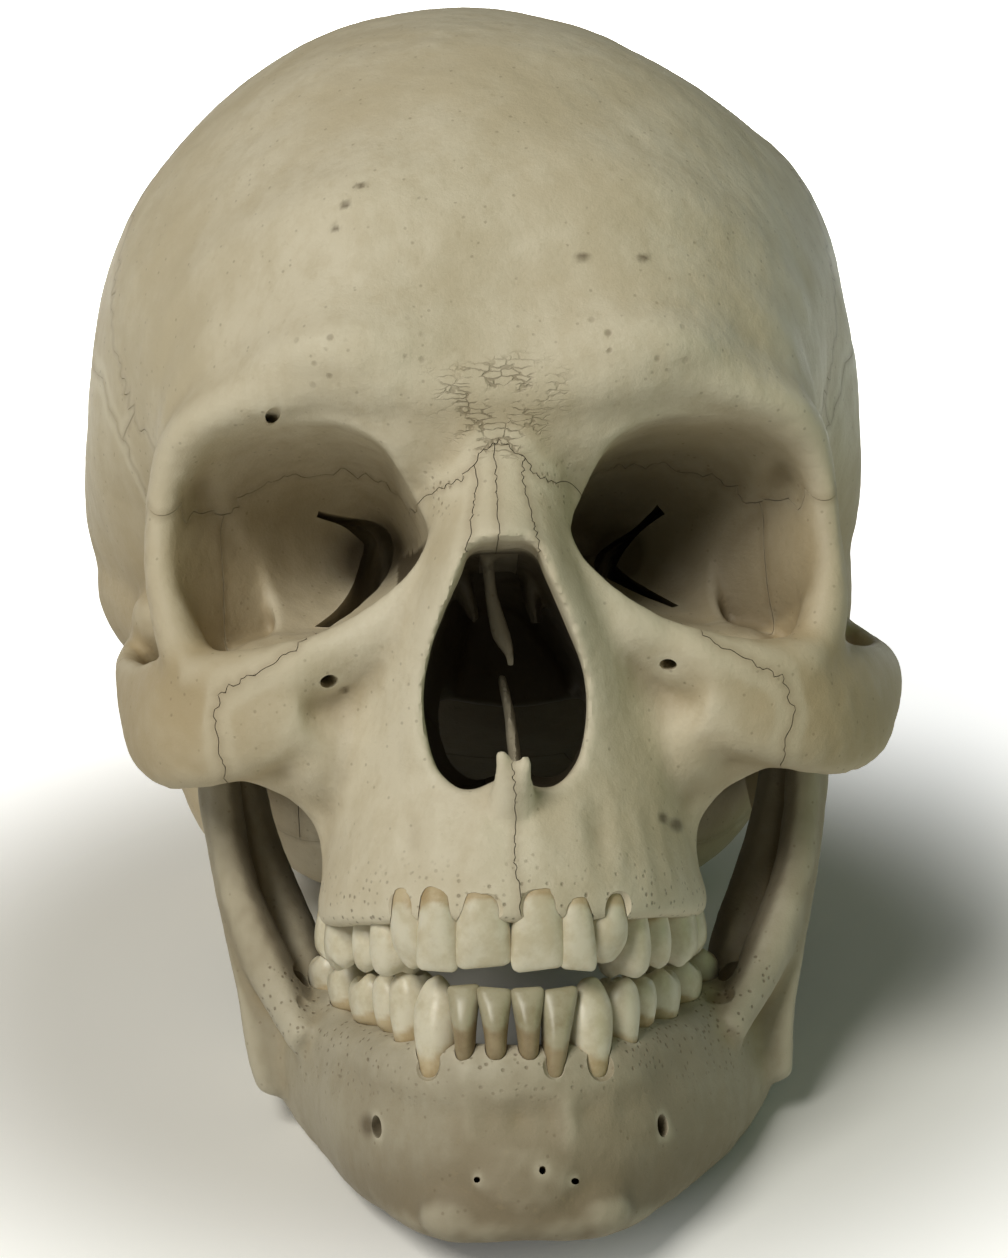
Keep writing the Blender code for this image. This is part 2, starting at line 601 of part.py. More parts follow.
def leaned(obj):
    """Shifts the parts behind the face a little to one side, as on the real skull."""
    points = points_of(obj)
    behind = smoothstep(-82, -35, points[:, 1])
    points[:, 0] += behind * (ARCH_LEAN + (VAULT_LEAN - ARCH_LEAN) * smoothstep(-8, 16, points[:, 2]))
    points[:, 0] += JAW_LEAN * smoothstep(62, 80, -points[:, 2])
    set_points(obj, points)
    return obj


def thinned(obj, triangles):
    """Fewer triangles, kept where the form turns most."""
    thin = obj.modifiers.new("thin", "DECIMATE")
    shape = obj.data
    shape.calc_loop_triangles()
    thin.ratio = triangles / len(shape.loop_triangles)
    return applied(obj)


def prism(outline, plane, low, high):
    """A block over an outline in the xy, xz or yz plane, from low to high along the third axis."""
    rings = []
    for level in (low, high):
        if plane == "yz":
            rings.append([(level, a, b) for a, b in outline])
        elif plane == "xz":
            rings.append([(a, level, b) for a, b in outline])
        else:
            rings.append([(a, b, level) for a, b in outline])
    return loft("region", rings)


def swollen(obj, by):
    """A copy of a region with every face moved out by a distance in millimetres."""
    shape = bmesh.new()
    shape.from_mesh(obj.data)
    bmesh.ops.triangulate(shape, faces=shape.faces)
    bmesh.ops.recalc_face_normals(shape, faces=shape.faces)
    shape.normal_update()
    moves = [v.normal * (v.calc_shell_factor() * by * MM) for v in shape.verts]
    for v, move in zip(shape.verts, moves):
        v.co += move
    mesh = bpy.data.meshes.new("region")
    shape.to_mesh(mesh)
    shape.free()
    copy = bpy.data.objects.new("region", mesh)
    bpy.context.scene.collection.objects.link(copy)
    return copy


def largest(obj):
    """Keeps only the biggest closed surface."""
    shape = bmesh.new()
    shape.from_mesh(obj.data)
    left = set(shape.faces)
    best = set()
    while left:
        start = left.pop()
        island, edge = {start}, [start]
        while edge:
            face = edge.pop()
            for link in face.edges:
                for other in link.link_faces:
                    if other in left:
                        left.discard(other)
                        island.add(other)
                        edge.append(other)
        if len(island) > len(best):
            best = island
    drop = [f for f in shape.faces if f not in best]
    bmesh.ops.delete(shape, geom=drop, context="FACES")
    loose = [v for v in shape.verts if not v.link_faces]
    bmesh.ops.delete(shape, geom=loose, context="VERTS")
    shape.to_mesh(obj.data)
    shape.free()
    return obj


def part_off(body, region, name):
    """Takes the bone inside the region off the body, with a thin seam between the two."""
    mesh = body.data.copy()
    piece = bpy.data.objects.new(name, mesh)
    bpy.context.scene.collection.objects.link(piece)
    combined(piece, swollen(region, -GAP / 2), "INTERSECT")
    combined(body, swollen(region, GAP / 2), "DIFFERENCE")
    bpy.data.objects.remove(region)
    return largest(piece)


# Outlines of the bones, (y, z) seen from the side, (x, z) from the front and (x, y) from above.
FRONTAL_OUTLINE = [
    (-18, 135), (-22, 110), (-30, 88), (-38, 64), (-45, 42), (-52, 33), (-58, 20), (-120, 20), (-120, 135),
]
FRONTAL_NOTCH = [(-11.2, -5), (-11.2, 19.8), (-4, 24), (0, 27), (4, 24), (11.2, 20), (11.2, -5)]
TEMPORAL_OUTLINE = [
    (-33, -70), (-33, 6), (-37, 16), (-41, 34), (-33, 47), (-18, 56), (2, 59), (20, 54), (33, 42),
    (40, 28), (46, 14), (41, 2), (36, -70),
]
PARIETAL_OUTLINE = [(-60, 44), (-42, 37), (-20, 26), (45, 6), (120, 6), (120, 140), (-60, 140)]
# The back of the face from above: level, x and y of the corner at the cheek's wall, y in the middle.
FACE_STATIONS = [(-90, 43, -57, -46.5), (-14, 43, -57, -46.5), (-10, 43, -58, -60), (70, 43, -58, -60)]
ZYGOMATIC_OUTLINE = [
    (33, 40), (29, 0), (36.5, -6.0), (43, -9.2), (44.4, -14), (42.5, -28), (42.5, -70), (110, -70), (110, 40),
]
NASAL_OUTLINE = [(0, 34), (3.9, 34), (3.6, 26), (3.4, 21), (5.0, 12), (5.5, 9.6), (0, 9.6)]
# Of the occipital: y, half width below, level of its widest corner, half width there, level of its tip.
OCCIPITAL_STATIONS = [
    (-12, 12, -6, 12, -3), (20, 24, -2, 24, 4), (32, 47, 4, 47, 22), (46, 62, 12, 62, 60),
    (70, 62, 12, 62, 74), (130, 62, 14, 62, 84),
]


def occipital_region():
    """The wedge behind the lambda-shaped seam, drawn forward under the skull's base."""
    rings = []
    for y, low, corner, wide, tip in OCCIPITAL_STATIONS:
        rings.append([(-2, y, tip), (wide, y, corner), (low, y, -80), (-low, y, -80), (-wide, y, corner)])
    return loft("region", rings)


def face_region():
    """Everything in front of the sphenoid and the middle of the cheek's arch."""
    rings = []
    for z, x, y, middle in FACE_STATIONS:
        half = [(100, -33), (56, -33), (50, -50), (x, y), (34, middle)]
        other = [(-a, b) for a, b in half[::-1]]
        rings.append([(a, b, z) for a, b in [*half, *other, (-100, -130), (100, -130)]])
    return loft("region", rings)


def ethmoid_region():
    """The block between the orbits and the plate that hangs from it in the nose."""
    outline = [(-16, 40), (-16, 11.5), (-2.5, 11.5), (-2.5, -12), (2.5, -12), (2.5, 11.5), (16, 11.5), (16, 40)]
    return prism(outline, "xz", -74, -40)


def box_region(x, y, z):
    """A block between the limits (low, high) given for each axis."""
    return prism([(x[0], y[0]), (x[1], y[0]), (x[1], y[1]), (x[0], y[1])], "xy", *z)


def bones_of(body):
    """Parts the cranium into its bones along the seams."""
    brow = combined(prism(FRONTAL_OUTLINE, "yz", -95, 95), prism(FRONTAL_NOTCH, "xz", -125, -60), "DIFFERENCE")
    found = [part_off(body, brow, "frontal"), part_off(body, occipital_region(), "occipital")]
    for side, end in ((1, "left"), (-1, "right")):
        region = prism(TEMPORAL_OUTLINE, "yz", side * 36, side * 100)
        found.append(part_off(body, region, f"temporal_{end}"))
    parietal = part_off(body, prism(PARIETAL_OUTLINE, "yz", -95, 95), "parietal_right")
    found.append(part_off(parietal, box_region((VAULT_LEAN, 100), (-80, 140), (-40, 150)), "parietal_left"))
    found.append(largest(parietal))
    face = part_off(body, face_region(), "maxilla_right")
    body.name = "sphenoid"
    found.append(largest(body))
    for side, end in ((1, "left"), (-1, "right")):
        outline = [(side * x, z) for x, z in ZYGOMATIC_OUTLINE]
        found.append(part_off(face, prism(outline, "xz", -130, -20), f"zygomatic_{end}"))
        outline = [(side * x, z) for x, z in NASAL_OUTLINE]
        found.append(part_off(face, prism(outline, "xz", -130, -82.5), f"nasal_{end}"))
    found.append(part_off(face, box_region((-2.5, 2.5), (-90, -48), (-23.5, -12)), "vomer"))
    found.append(part_off(face, ethmoid_region(), "ethmoid"))
    found.append(part_off(face, box_region((0, 80), (-130, -20), (-90, 60)), "maxilla_left"))
    found.append(largest(face))
    return found


def rested(bones):
    """Tips the skull back about its ears and stands it on the table, centred over the origin."""
    rest = bpy.data.objects.new("skull", None)
    bpy.context.scene.collection.objects.link(rest)
    turn = Matrix.Rotation(math.radians(-REST_TILT), 3, "X")
    points = np.concatenate([points_of(obj) for obj in bones]) @ np.array(turn).T
    low, high = points.min(0), points.max(0)
    rest.rotation_euler = (math.radians(-REST_TILT), 0, 0)
    rest.location = (-MM * (low[0] + high[0]) / 2, -MM * (low[1] + high[1]) / 2, -MM * low[2])
    for obj in bones:
        obj.parent = rest


def painted(obj):
    """Gives the bone its own material."""
    material = bpy.data.materials.new(obj.name)
    material.use_nodes = True
    shader = material.node_tree.nodes["Principled BSDF"]
    shader.inputs["Base Color"].default_value = (*BONE_COLOUR, 1)
    shader.inputs["Roughness"].default_value = BONE_ROUGHNESS
    obj.data.materials.clear()
    obj.data.materials.append(material)
    obj.data.shade_smooth()


def main():
    clear_scene()
    head = toothed(thinned(leaned(cranium()), CRANIUM_TRIANGLES), UPPER_TEETH, 3)
    combined(head, prism(SEPTUM_OUTLINE, "yz", -0.9, 0.9), "UNION")
    jaw = largest(toothed(thinned(leaned(mandible()), MANDIBLE_TRIANGLES), LOWER_TEETH, 4))
    bones = bones_of(head) + [jaw]
    for obj in bones:
        painted(obj)
    rested(bones)


main()
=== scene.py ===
"""A life-size human skull with its lower jaw, dressed for its picture: bones, teeth, table, light and camera.

Every bone is modelled upright, in the Frankfurt position, in millimetres: x to the skull's left, y to the
back, z up, with the origin midway between the ear holes. Once the bones are parted and the teeth are in, the
skull is tipped back until it lies on its jaw and the back of its head.
"""

import math
import random

import bmesh
import bpy
import numpy as np
from mathutils import Matrix, Vector
from mathutils.bvhtree import BVHTree


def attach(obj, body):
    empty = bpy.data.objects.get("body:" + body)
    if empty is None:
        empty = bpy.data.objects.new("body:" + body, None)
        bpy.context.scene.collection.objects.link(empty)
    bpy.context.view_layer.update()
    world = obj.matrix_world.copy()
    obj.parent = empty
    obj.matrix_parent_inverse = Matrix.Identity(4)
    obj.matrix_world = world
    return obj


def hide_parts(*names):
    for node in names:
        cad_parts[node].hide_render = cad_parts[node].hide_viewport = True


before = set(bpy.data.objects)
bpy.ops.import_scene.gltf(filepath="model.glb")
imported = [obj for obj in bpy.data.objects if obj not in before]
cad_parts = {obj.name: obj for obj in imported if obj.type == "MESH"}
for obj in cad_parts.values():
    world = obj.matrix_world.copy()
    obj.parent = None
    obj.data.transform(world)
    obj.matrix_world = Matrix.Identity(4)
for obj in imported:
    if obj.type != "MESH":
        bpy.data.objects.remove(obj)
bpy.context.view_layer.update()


# The braincase. The frontal, parietal and occipital bones are two hard plates of bone with spongy bone
# between, about 6 mm thick, and they close over the brain like an egg. Their outer plate is all that shows.
MM = 0.001
VAULT_BREADTH = 137.0
VAULT_CENTRE = (0.0, 10.0, 40.0)
VAULT_PROFILE = [
    (-91, 36), (-90, 53), (-83, 74), (-68, 92), (-50, 103), (-20, 113), (10, 118), (36, 114),
    (60, 101), (77, 80), (87, 55), (87, 35), (81, 10), (69, -13), (54, -28), (36, -31), (8, -24),
    (-20, -14), (-45, 2), (-66, 14), (-84, 24),
]


def smoothstep(low, high, value):
    """0 below low, 1 above high, and a smooth rise between them."""
    t = np.clip((np.asarray(value, float) - low) / (high - low), 0, 1)
    return t * t * (3 - 2 * t)


def spline(points, steps, closed=False):
    """Catmull-Rom curve through the points, with steps pieces between neighbours."""
    p = np.array(points, float)
    n = len(p)
    found = []
    for i in range(n if closed else n - 1):
        if closed:
            a, b, c, d = (p[(i + k) % n] for k in (-1, 0, 1, 2))
        else:
            a, b, c, d = (p[min(max(i + k, 0), n - 1)] for k in (-1, 0, 1, 2))
        for s in range(steps):
            t = s / steps
            found.append(0.5 * (2 * b + (c - a) * t + (2 * a - 5 * b + 4 * c - d) * t**2
                                + (3 * b - a - 3 * c + d) * t**3))
    if not closed:
        found.append(p[-1])
    return np.array(found)


def added(name, data):
    """A new object in the scene."""
    obj = bpy.data.objects.new(name, data)
    bpy.context.scene.collection.objects.link(obj)
    return obj


def make_object(name, points, faces):
    """A mesh object from points in millimetres, with its faces turned outwards."""
    mesh = bpy.data.meshes.new(name)
    mesh.from_pydata((np.asarray(points, float) * MM).tolist(), [], [list(f) for f in faces])
    shape = bmesh.new()
    shape.from_mesh(mesh)
    bmesh.ops.recalc_face_normals(shape, faces=shape.faces)
    shape.to_mesh(mesh)
    shape.free()
    return added(name, mesh)


def vault():
    """The braincase: its midplane outline, swung out to the sides."""
    cy, cz = VAULT_CENTRE[1:]
    outline = spline(VAULT_PROFILE, 7, closed=True) - (cy, cz)
    count = len(outline)
    swings = np.radians(np.linspace(-90, 90, 73)[1:-1])
    forward = np.clip(-outline[:, 0] / np.linalg.norm(outline, axis=1), 0, 1) ** 2
    points = [(-VAULT_BREADTH / 2, cy, cz)]
    for swing in swings:
        share = math.cos(swing) ** (1 - 0.22 * forward)
        for (y, z), s in zip(outline, share):
            points.append((VAULT_BREADTH / 2 * math.sin(swing), cy + y * s, cz + z * s))
    points.append((VAULT_BREADTH / 2, cy, cz))
    faces = []
    for i in range(len(swings) - 1):
        for j in range(count):
            k = (j + 1) % count
            faces.append((1 + i * count + j, 1 + i * count + k, 1 + (i + 1) * count + k,
                          1 + (i + 1) * count + j))
    last = len(points) - 1
    for j in range(count):
        k = (j + 1) % count
        faces.append((0, 1 + k, 1 + j))
        faces.append((last, last - count + j, last - count + k))
    return make_object("vault", points, faces)


# The face's masses: brows, orbit rims, cheekbones with their arches, the nose's bridge and the block that
# holds the upper teeth. Each is solid bone here, drawn as rods and blocks that are fused into the braincase.
UPPER_JAW = [
    (-45.2, 30.4, -95.4, -47.0), (-42.0, 30.8, -95.8, -46.0), (-38.0, 29.9, -95.2, -46.0),
    (-33.5, 29.0, -93.6, -46.0), (-28.0, 28.5, -91.5, -46.0), (-20.0, 29.2, -88.5, -46.0),
    (-10.0, 32.0, -86.0, -46.0), (0.0, 35.5, -83.0, -44.0), (10.0, 36.0, -80.0, -40.0),
    (20.0, 36.0, -80.0, -36.0),
]
NOSE_BRIDGE = [
    (38.0, 16.0, -80.0, -92.0), (30.0, 12.5, -79.0, -90.5), (25.0, 11.5, -78.0, -89.0),
    (18.0, 11.5, -77.0, -92.0), (12.0, 12.5, -76.0, -96.5), (6.0, 14.5, -76.0, -99.0),
    (-2.0, 18.0, -76.0, -96.0), (-12.0, 22.0, -74.0, -91.0), (-24.0, 24.0, -72.0, -90.0),
]
ORBIT_RIM = [
    (46.0, -70.0, -9.0, 5.0, 5.0), (50.4, -67.0, 0.0, 3.8, 5.5), (52.3, -64.5, 10.0, 3.1, 5.5),
    (52.3, -63.5, 19.0, 3.1, 6.0), (50.4, -65.5, 26.5, 3.8, 6.5), (45.2, -71.5, 33.0, 4.6, 6.5),
    (36.8, -78.0, 36.5, 5.2, 6.5), (26.0, -82.5, 38.0, 5.8, 6.5), (14.0, -85.5, 36.5, 6.2, 6.0),
    (0.0, -87.0, 36.0, 6.0, 5.0),
]
BROW_FILL = [
    (50.4, -57.0, 31.0, 4.4, 7.0), (44.2, -64.5, 42.0, 6.0, 8.5), (37.0, -71.0, 47.0, 8.2, 9.0),
    (27.0, -77.0, 49.0, 9.0, 9.0), (14.0, -80.5, 50.0, 9.0, 9.0), (0.0, -82.0, 50.0, 9.0, 8.0),
]
BROW_SLOPE = [
    (46.0, -57.5, 52.0, 6.0, 9.0), (38.0, -66.0, 58.0, 8.0, 9.0), (27.0, -73.0, 62.0, 9.0, 9.0),
    (14.0, -77.0, 64.0, 9.0, 9.0), (0.0, -78.5, 64.0, 9.0, 8.0),
]
LOWER_RIM = [
    (48.0, -70.0, -6.0, 4.5, 5.5), (40.0, -74.0, -7.5, 5.0, 5.5), (30.0, -77.5, -6.0, 5.0, 5.0),
    (22.0, -79.0, -2.5, 4.5, 5.0), (15.5, -80.0, 3.5, 4.0, 5.0), (11.8, -80.0, 12.0, 4.0, 4.5),
]
CHEEK_AND_ARCH = [
    (30.0, -77.0, -10.0, 4.5, 8.0), (40.0, -73.5, -12.0, 5.4, 10.0), (48.0, -68.5, -12.8, 5.4, 11.0),
    (54.0, -61.0, -12.6, 4.6, 10.6), (58.5, -52.0, -11.0, 3.6, 9.2), (61.6, -42.0, -7.5, 3.0, 7.0),
    (63.4, -30.0, -3.8, 2.7, 5.0), (63.2, -18.0, -1.0, 2.8, 4.8), (61.0, -7.0, 1.5, 3.8, 5.0),
    (57.0, 4.0, 3.5, 5.5, 5.5), (55.0, 14.0, 4.0, 7.0, 6.0),
]
CHEEK_CREST = [
    (43.0, -70.5, -16.5, 5.0, 5.0), (37.0, -68.5, -19.0, 4.6, 4.6), (31.0, -65.5, -23.4, 3.8, 4.2),
    (27.2, -63.0, -30.0, 3.0, 3.6), (26.6, -62.0, -38.0, 3.0, 3.6),
]
MASTOID = [
    (54.0, 16.0, 14.0, 12.0, 16.0), (54.0, 17.0, 0.0, 10.5, 14.5), (52.5, 16.5, -13.0, 9.0, 11.5),
    (51.0, 15.5, -23.0, 7.0, 8.5), (50.0, 14.0, -30.0, 4.2, 5.0),
]
ORBIT_WALL = [
    (52.0, -65.0, 10.0, 3.2, 16.0), (45.0, -54.0, 12.0, 3.4, 15.0), (38.0, -46.0, 12.0, 4.6, 16.0),
    (31.0, -36.0, 12.0, 7.0, 16.0),
]
PTERYGOID = [
    (17.0, -38.0, 0.0, 4.0, 6.0), (16.0, -42.0, -14.0, 3.4, 5.5), (16.0, -44.0, -28.0, 3.2, 5.0),
    (16.5, -44.5, -37.0, 3.0, 4.0),
]
ROUND_MASSES = [
    ((19, 6, -23), (6, 12, 7)), ((53, 16, 14), (13.5, 28, 20)), ((24, 42, -11), (29, 27, 29.5)),
    ((50, -15, 6), (12, 15, 9)), ((28, -66, -15.5), (9, 12, 11)), ((17, -83, 42), (20, 10, 8)),
    ((0, -38, 4), (26, 16, 14)), ((0, 47, 2), (56, 31, 32)), ((37, -56, -6), (8.5, 13, 7)),
]
NOSE_INSIDE = [
    [(-2.0, -71.0, 17.0, 1.5, 2.2), (-1.7, -72.0, 11.0, 1.2, 1.6), (-1.2, -72.0, 5.0, 1.1, 1.3),
     (-0.2, -72.0, -0.6, 1.6, 1.4), (0.9, -72.0, -3.4, 1.0, 1.0), (1.3, -72.0, -6.0, 0.5, 0.5)],
    [(1.6, -76.0, -25.0, 1.2, 4.0), (1.4, -74.0, -20.0, 0.9, 3.0), (0.6, -69.0, -13.0, 0.8, 2.4),
     (-0.6, -66.0, -7.0, 0.7, 1.6)],
    [(-6.6, -62.0, 15.0, 2.4, 4.0), (-5.2, -62.0, 8.0, 1.5, 4.0), (-4.2, -60.0, 3.2, 0.9, 3.0)],
    [(6.4, -60.0, 15.0, 2.2, 4.0), (5.4, -60.0, 8.0, 1.4, 4.0), (5.6, -58.0, 2.6, 0.9, 3.0)],
]
SPINE_PRONGS = [
    [(0.4, -87.0, -33.0, 5.0, 3.0), (0.5, -91.5, -27.0, 3.4, 2.8), (-0.4, -95.0, -22.6, 1.5, 1.5),
     (-1.2, -96.2, -20.0, 0.9, 0.9)],
    [(0.8, -87.0, -33.0, 4.6, 3.0), (1.0, -91.5, -27.0, 3.2, 2.6), (2.0, -95.2, -23.6, 1.4, 1.4),
     (2.9, -96.4, -21.0, 0.8, 0.8)],
]


def loft(name, rings):
    """A closed body through rings of as many points each, with flat ends."""
    rings = np.asarray(rings, float)
    count, sides = rings.shape[:2]
    faces = []
    for i in range(count - 1):
        for j in range(sides):
            k = (j + 1) % sides
            faces.append((i * sides + j, i * sides + k, (i + 1) * sides + k, (i + 1) * sides + j))
    faces.append(tuple(range(sides)))
    faces.append(tuple(range((count - 1) * sides, count * sides)))
    return make_object(name, rings.reshape(-1, 3), faces)


def tube(name, stations, up=(0, 0, 1), steps=6, sides=28):
    """A rod along stations (x, y, z, half width across up, half width along up)."""
    path = spline(stations, steps)
    centre, half = path[:, :3], path[:, 3:]
    ahead = np.gradient(centre, axis=0)
    ahead /= np.linalg.norm(ahead, axis=1)[:, None]
    high = np.array(up, float) - (ahead @ np.array(up, float))[:, None] * ahead
    high /= np.linalg.norm(high, axis=1)[:, None]
    wide = np.cross(ahead, high)
    turn = np.linspace(0, 2 * math.pi, sides, endpoint=False)
    rings = (centre[:, None] + wide[:, None] * (np.cos(turn)[:, None] * half[:, None, :1])
             + high[:, None] * (np.sin(turn)[:, None] * half[:, None, 1:]))
    return loft(name, rings)


def mirrored(stations):
    """The same stations on the other side of the midplane."""
    return [(-s[0], *s[1:]) for s in stations]


def ellipsoid(name, centre, radii):
    """A stretched ball."""
    shape = bmesh.new()
    bmesh.ops.create_icosphere(shape, subdivisions=4, radius=1.0)
    points = np.array([v.co[:] for v in shape.verts])
    faces = [[v.index for v in f.verts] for f in shape.faces]
    shape.free()
    return make_object(name, points * radii + np.array(centre, float), faces)


def half_round(width, front, back, z, sides=72):
    """A ring at one level: an arch in front, nearly square behind."""
    turn = np.linspace(0, 2 * math.pi, sides, endpoint=False)
    middle = back - 13.0
    y = middle + (middle - front) * np.sin(turn)
    y = np.where(np.sin(turn) > 0, middle + 13.0 * np.abs(np.sin(turn)) ** 0.5, y)
    square = width * np.sign(np.cos(turn)) * np.abs(np.cos(turn)) ** 0.5
    x = np.where(np.sin(turn) > 0, square, width * np.cos(turn))
    return np.stack([x, y, np.full(sides, z)], axis=1)


def nose_bridge():
    """A roof that stands out between the orbits and widens down to the upper jaw."""
    rings = []
    turn = np.linspace(0, 2 * math.pi, 48, endpoint=False)
    for z, half, side, front in spline(NOSE_BRIDGE, 4):
        rise = np.clip(np.cos(turn), 0, 1) ** 1.25
        y = side - (side - front) * rise + 12 * np.clip(-np.cos(turn), 0, 1)
        rings.append(np.stack([half * np.sin(turn), y, np.full(48, z)], axis=1))
    return loft("nose_bridge", rings)


def root_bulge(x, neck, width):
    """The low swelling that a front tooth's root makes in the upper jaw, from its neck up."""
    levels = spline(UPPER_JAW, 4)
    stations = []
    for rise, thick in ((1.5, 0.30), (5.0, 0.40), (9.5, 0.38), (14.0, 0.26)):
        z = neck + rise
        _, half, front, back = levels[np.argmin(np.abs(levels[:, 0] - z))]
        middle = back - 13.0
        at = x * (1 - 0.008 * rise)
        y = middle - (middle - front) * math.sqrt(max(1 - (at / half) ** 2, 0.05))
        out = np.array([at / half**2, (y - middle) / (middle - front) ** 2])
        out /= np.linalg.norm(out)
        r = width * thick
        stations.append((at - out[0] * (r - 0.45), y - out[1] * (r - 0.45), z, r, r))
    return tube("root_bulge", stations, (0, 1, 0))


def cranium_masses():
    """Every body that the cranium is fused from."""
    pieces = [vault(), nose_bridge()]
    pieces.append(loft("upper_jaw", [half_round(w, f, b, z) for z, w, f, b in spline(UPPER_JAW, 4)]))
    for stations, up in ((ORBIT_RIM, (0, 1, 0.001)), (BROW_FILL, (0, 1, 0)), (BROW_SLOPE, (0, 1, 0)),
                         (LOWER_RIM, (0, 1, 0)), (CHEEK_AND_ARCH, (0, 0, 1)), (CHEEK_CREST, (0, 1, 0)),
                         (ORBIT_WALL, (0, 0, 1)), (MASTOID, (0, 1, 0)), (PTERYGOID, (0, 1, 0))):
        pieces += [tube("rod", stations, up), tube("rod", mirrored(stations), up)]
    for (x, y, z), radii in ROUND_MASSES:
        pieces += [ellipsoid("mass", (side * x, y, z), radii) for side in ((1, -1) if x else (1,))]
    for x, neck, width in ((-4.4, -40.1, 7.6), (3.9, -39.6, 7.6), (-11.6, -40.4, 6.4), (10.6, -41.3, 6.2),
                           (-17.2, -38.0, 7.8), (16.6, -40.6, 8.0), (-21.6, -41.3, 7.0), (21.6, -42.8, 7.0),
                           (-24.8, -42.3, 6.6), (25.2, -43.0, 6.6)):
        pieces.append(root_bulge(x, neck, width))
    return pieces


# The orbits, the nasal opening, the palate, the ear holes and the foramen magnum are cut into the solid
# mass, as are the slits at the back of the orbits and the small holes where nerves leave the face.
ORBIT_OUTLINE = [
    (11.3, 14.0), (13.9, 20.5), (17.8, 27.2), (24.5, 30.6), (30.5, 31.0), (38.0, 30.6), (44.5, 28.2),
    (49.0, 23.5), (50.2, 17.0), (49.6, 8.5), (46.6, 1.8), (42.0, -1.4), (36.0, -2.0), (28.5, -0.6),
    (22.5, 2.0), (17.6, 5.0), (13.2, 9.0),
]
ORBIT_APEX = (17.0, -36.0, 17.0)
APERTURE_OUTLINE = [
    (0.0, 11.2), (4.6, 10.8), (6.6, 6.5), (8.6, 2.0), (10.9, -4.5), (12.2, -11.0), (11.9, -17.0),
    (10.2, -22.4), (6.4, -25.4), (2.2, -24.2), (0.0, -22.5),
]
ORBIT_SLITS = [
    [(-27.0, -45.0, 22.0, 0.5, 9.0), (-21.5, -43.0, 20.8, 0.9, 10.0), (-17.4, -41.0, 18.4, 2.3, 11.0),
     (-17.6, -41.0, 14.4, 2.7, 11.0), (-20.2, -44.0, 9.6, 2.0, 9.0), (-24.5, -49.0, 5.2, 1.3, 7.0),
     (-29.5, -56.0, 1.6, 0.8, 5.0)],
    [(30.0, -45.0, 21.8, 1.1, 9.0), (28.4, -44.0, 20.6, 0.8, 9.0), (25.0, -43.0, 17.8, 0.6, 10.0),
     (22.0, -41.0, 15.2, 1.3, 11.0), (20.4, -40.0, 12.6, 1.9, 11.0), (22.8, -44.0, 9.8, 1.1, 9.0),
     (28.5, -53.0, 5.0, 0.6, 6.0)],
]
SMALL_HOLES = [
    ((-26.4, -8.2), (-74, -86), (1.5, 1.2)), ((25.2, -6.7), (-74, -86), (1.4, 1.05)),
    ((-34.3, 32.5), (-73, -90), (1.1, 0.75)),
]


def orbit_cutter(side):
    """A cone that narrows from the orbit's rim to its apex."""
    rim = spline(ORBIT_OUTLINE, 5, closed=True)
    middle = np.array([31.0, 15.0])
    apex = np.array([ORBIT_APEX[0], ORBIT_APEX[2]])
    rings = []
    for y, wide, shift in ((-108, 1.0, 0), (-86, 1.0, 0), (-78, 1.02, 0.02), (-68, 0.97, 0.1),
                           (-58, 0.82, 0.3), (-48, 0.55, 0.6), (-41, 0.3, 0.85), (-37, 0.1, 1.0)):
        centre = middle + (apex - middle) * shift
        ring = centre + (rim - middle) * wide
        rings.append([(side * x, y, z) for x, z in ring])
    return loft("orbit_cutter", rings)


def nose_cutter():
    """The pear-shaped nasal opening, and the cavity behind it."""
    half = spline(APERTURE_OUTLINE, 5)
    rim = np.concatenate([half, (half[::-1] * (-1, 1))[1:-1]])
    centre = np.array([0.0, -8.0])
    rings = []
    for y, sx, sz in ((-112, 1.0, 1.0), (-84, 1.0, 1.0), (-80, 1.05, 1.0), (-72, 1.15, 1.0),
                      (-52, 1.1, 0.9), (-40, 0.8, 0.7)):
        rings.append([(x, y, z) for x, z in centre + (rim - centre) * (sx, sz)])
    return loft("nose_cutter", rings)


def opening_cutters():
    """Everything that is cut from the cranium's mass."""
    pieces = [orbit_cutter(1), orbit_cutter(-1), nose_cutter()]
    pieces.append(ellipsoid("palate", (0, -60, -47), (20, 25, 13)))
    magnum = [(0, 19, -60, 15, 18), (0, 18, -20, 15, 18), (0, 16, 4, 15, 17)]
    pieces.append(tube("foramen_magnum", magnum, (0, 1, 0)))
    for side in (1, -1):
        canal = [(side * 75, 2, -3, 4, 4.5), (side * 58, 1, -3, 4, 4.5), (side * 46, -1, -3, 3, 3)]
        pieces.append(tube("ear_hole", canal))
        pieces.append(ellipsoid("fossa", (side * 50, -11.5, -6), (11.5, 6.5, 6)))
    return pieces


def fine_cutters():
    """The slits of the orbits and the small holes of the face."""
    pieces = [tube("slit", stations, (0, 1, 0)) for stations in ORBIT_SLITS]
    for (x, z), (deep, out), (wide, high) in SMALL_HOLES:
        lift = 1.6 if z < 0 else -0.5
        path = [(x * 1.06, deep, z + lift, wide * 0.7, high * 0.7), (x, (deep + out) / 2, z, wide, high),
                (x * 0.96, out, z - lift, wide * 1.4, high * 1.4)]
        pieces.append(tube("hole", path))
    return pieces


def applied(obj):
    """Replaces the object's mesh with what its modifiers make."""
    graph = bpy.context.evaluated_depsgraph_get()
    mesh = bpy.data.meshes.new_from_object(obj.evaluated_get(graph))
    old = obj.data
    obj.modifiers.clear()
    obj.data = mesh
    bpy.data.meshes.remove(old)
    return obj


def joined(name, pieces):
    """One object that holds the meshes of all the pieces, which are removed."""
    shape = bmesh.new()
    for piece in pieces:
        shape.from_mesh(piece.data)
    mesh = bpy.data.meshes.new(name)
    shape.to_mesh(mesh)
    shape.free()
    for piece in pieces:
        bpy.data.objects.remove(piece)
    return added(name, mesh)


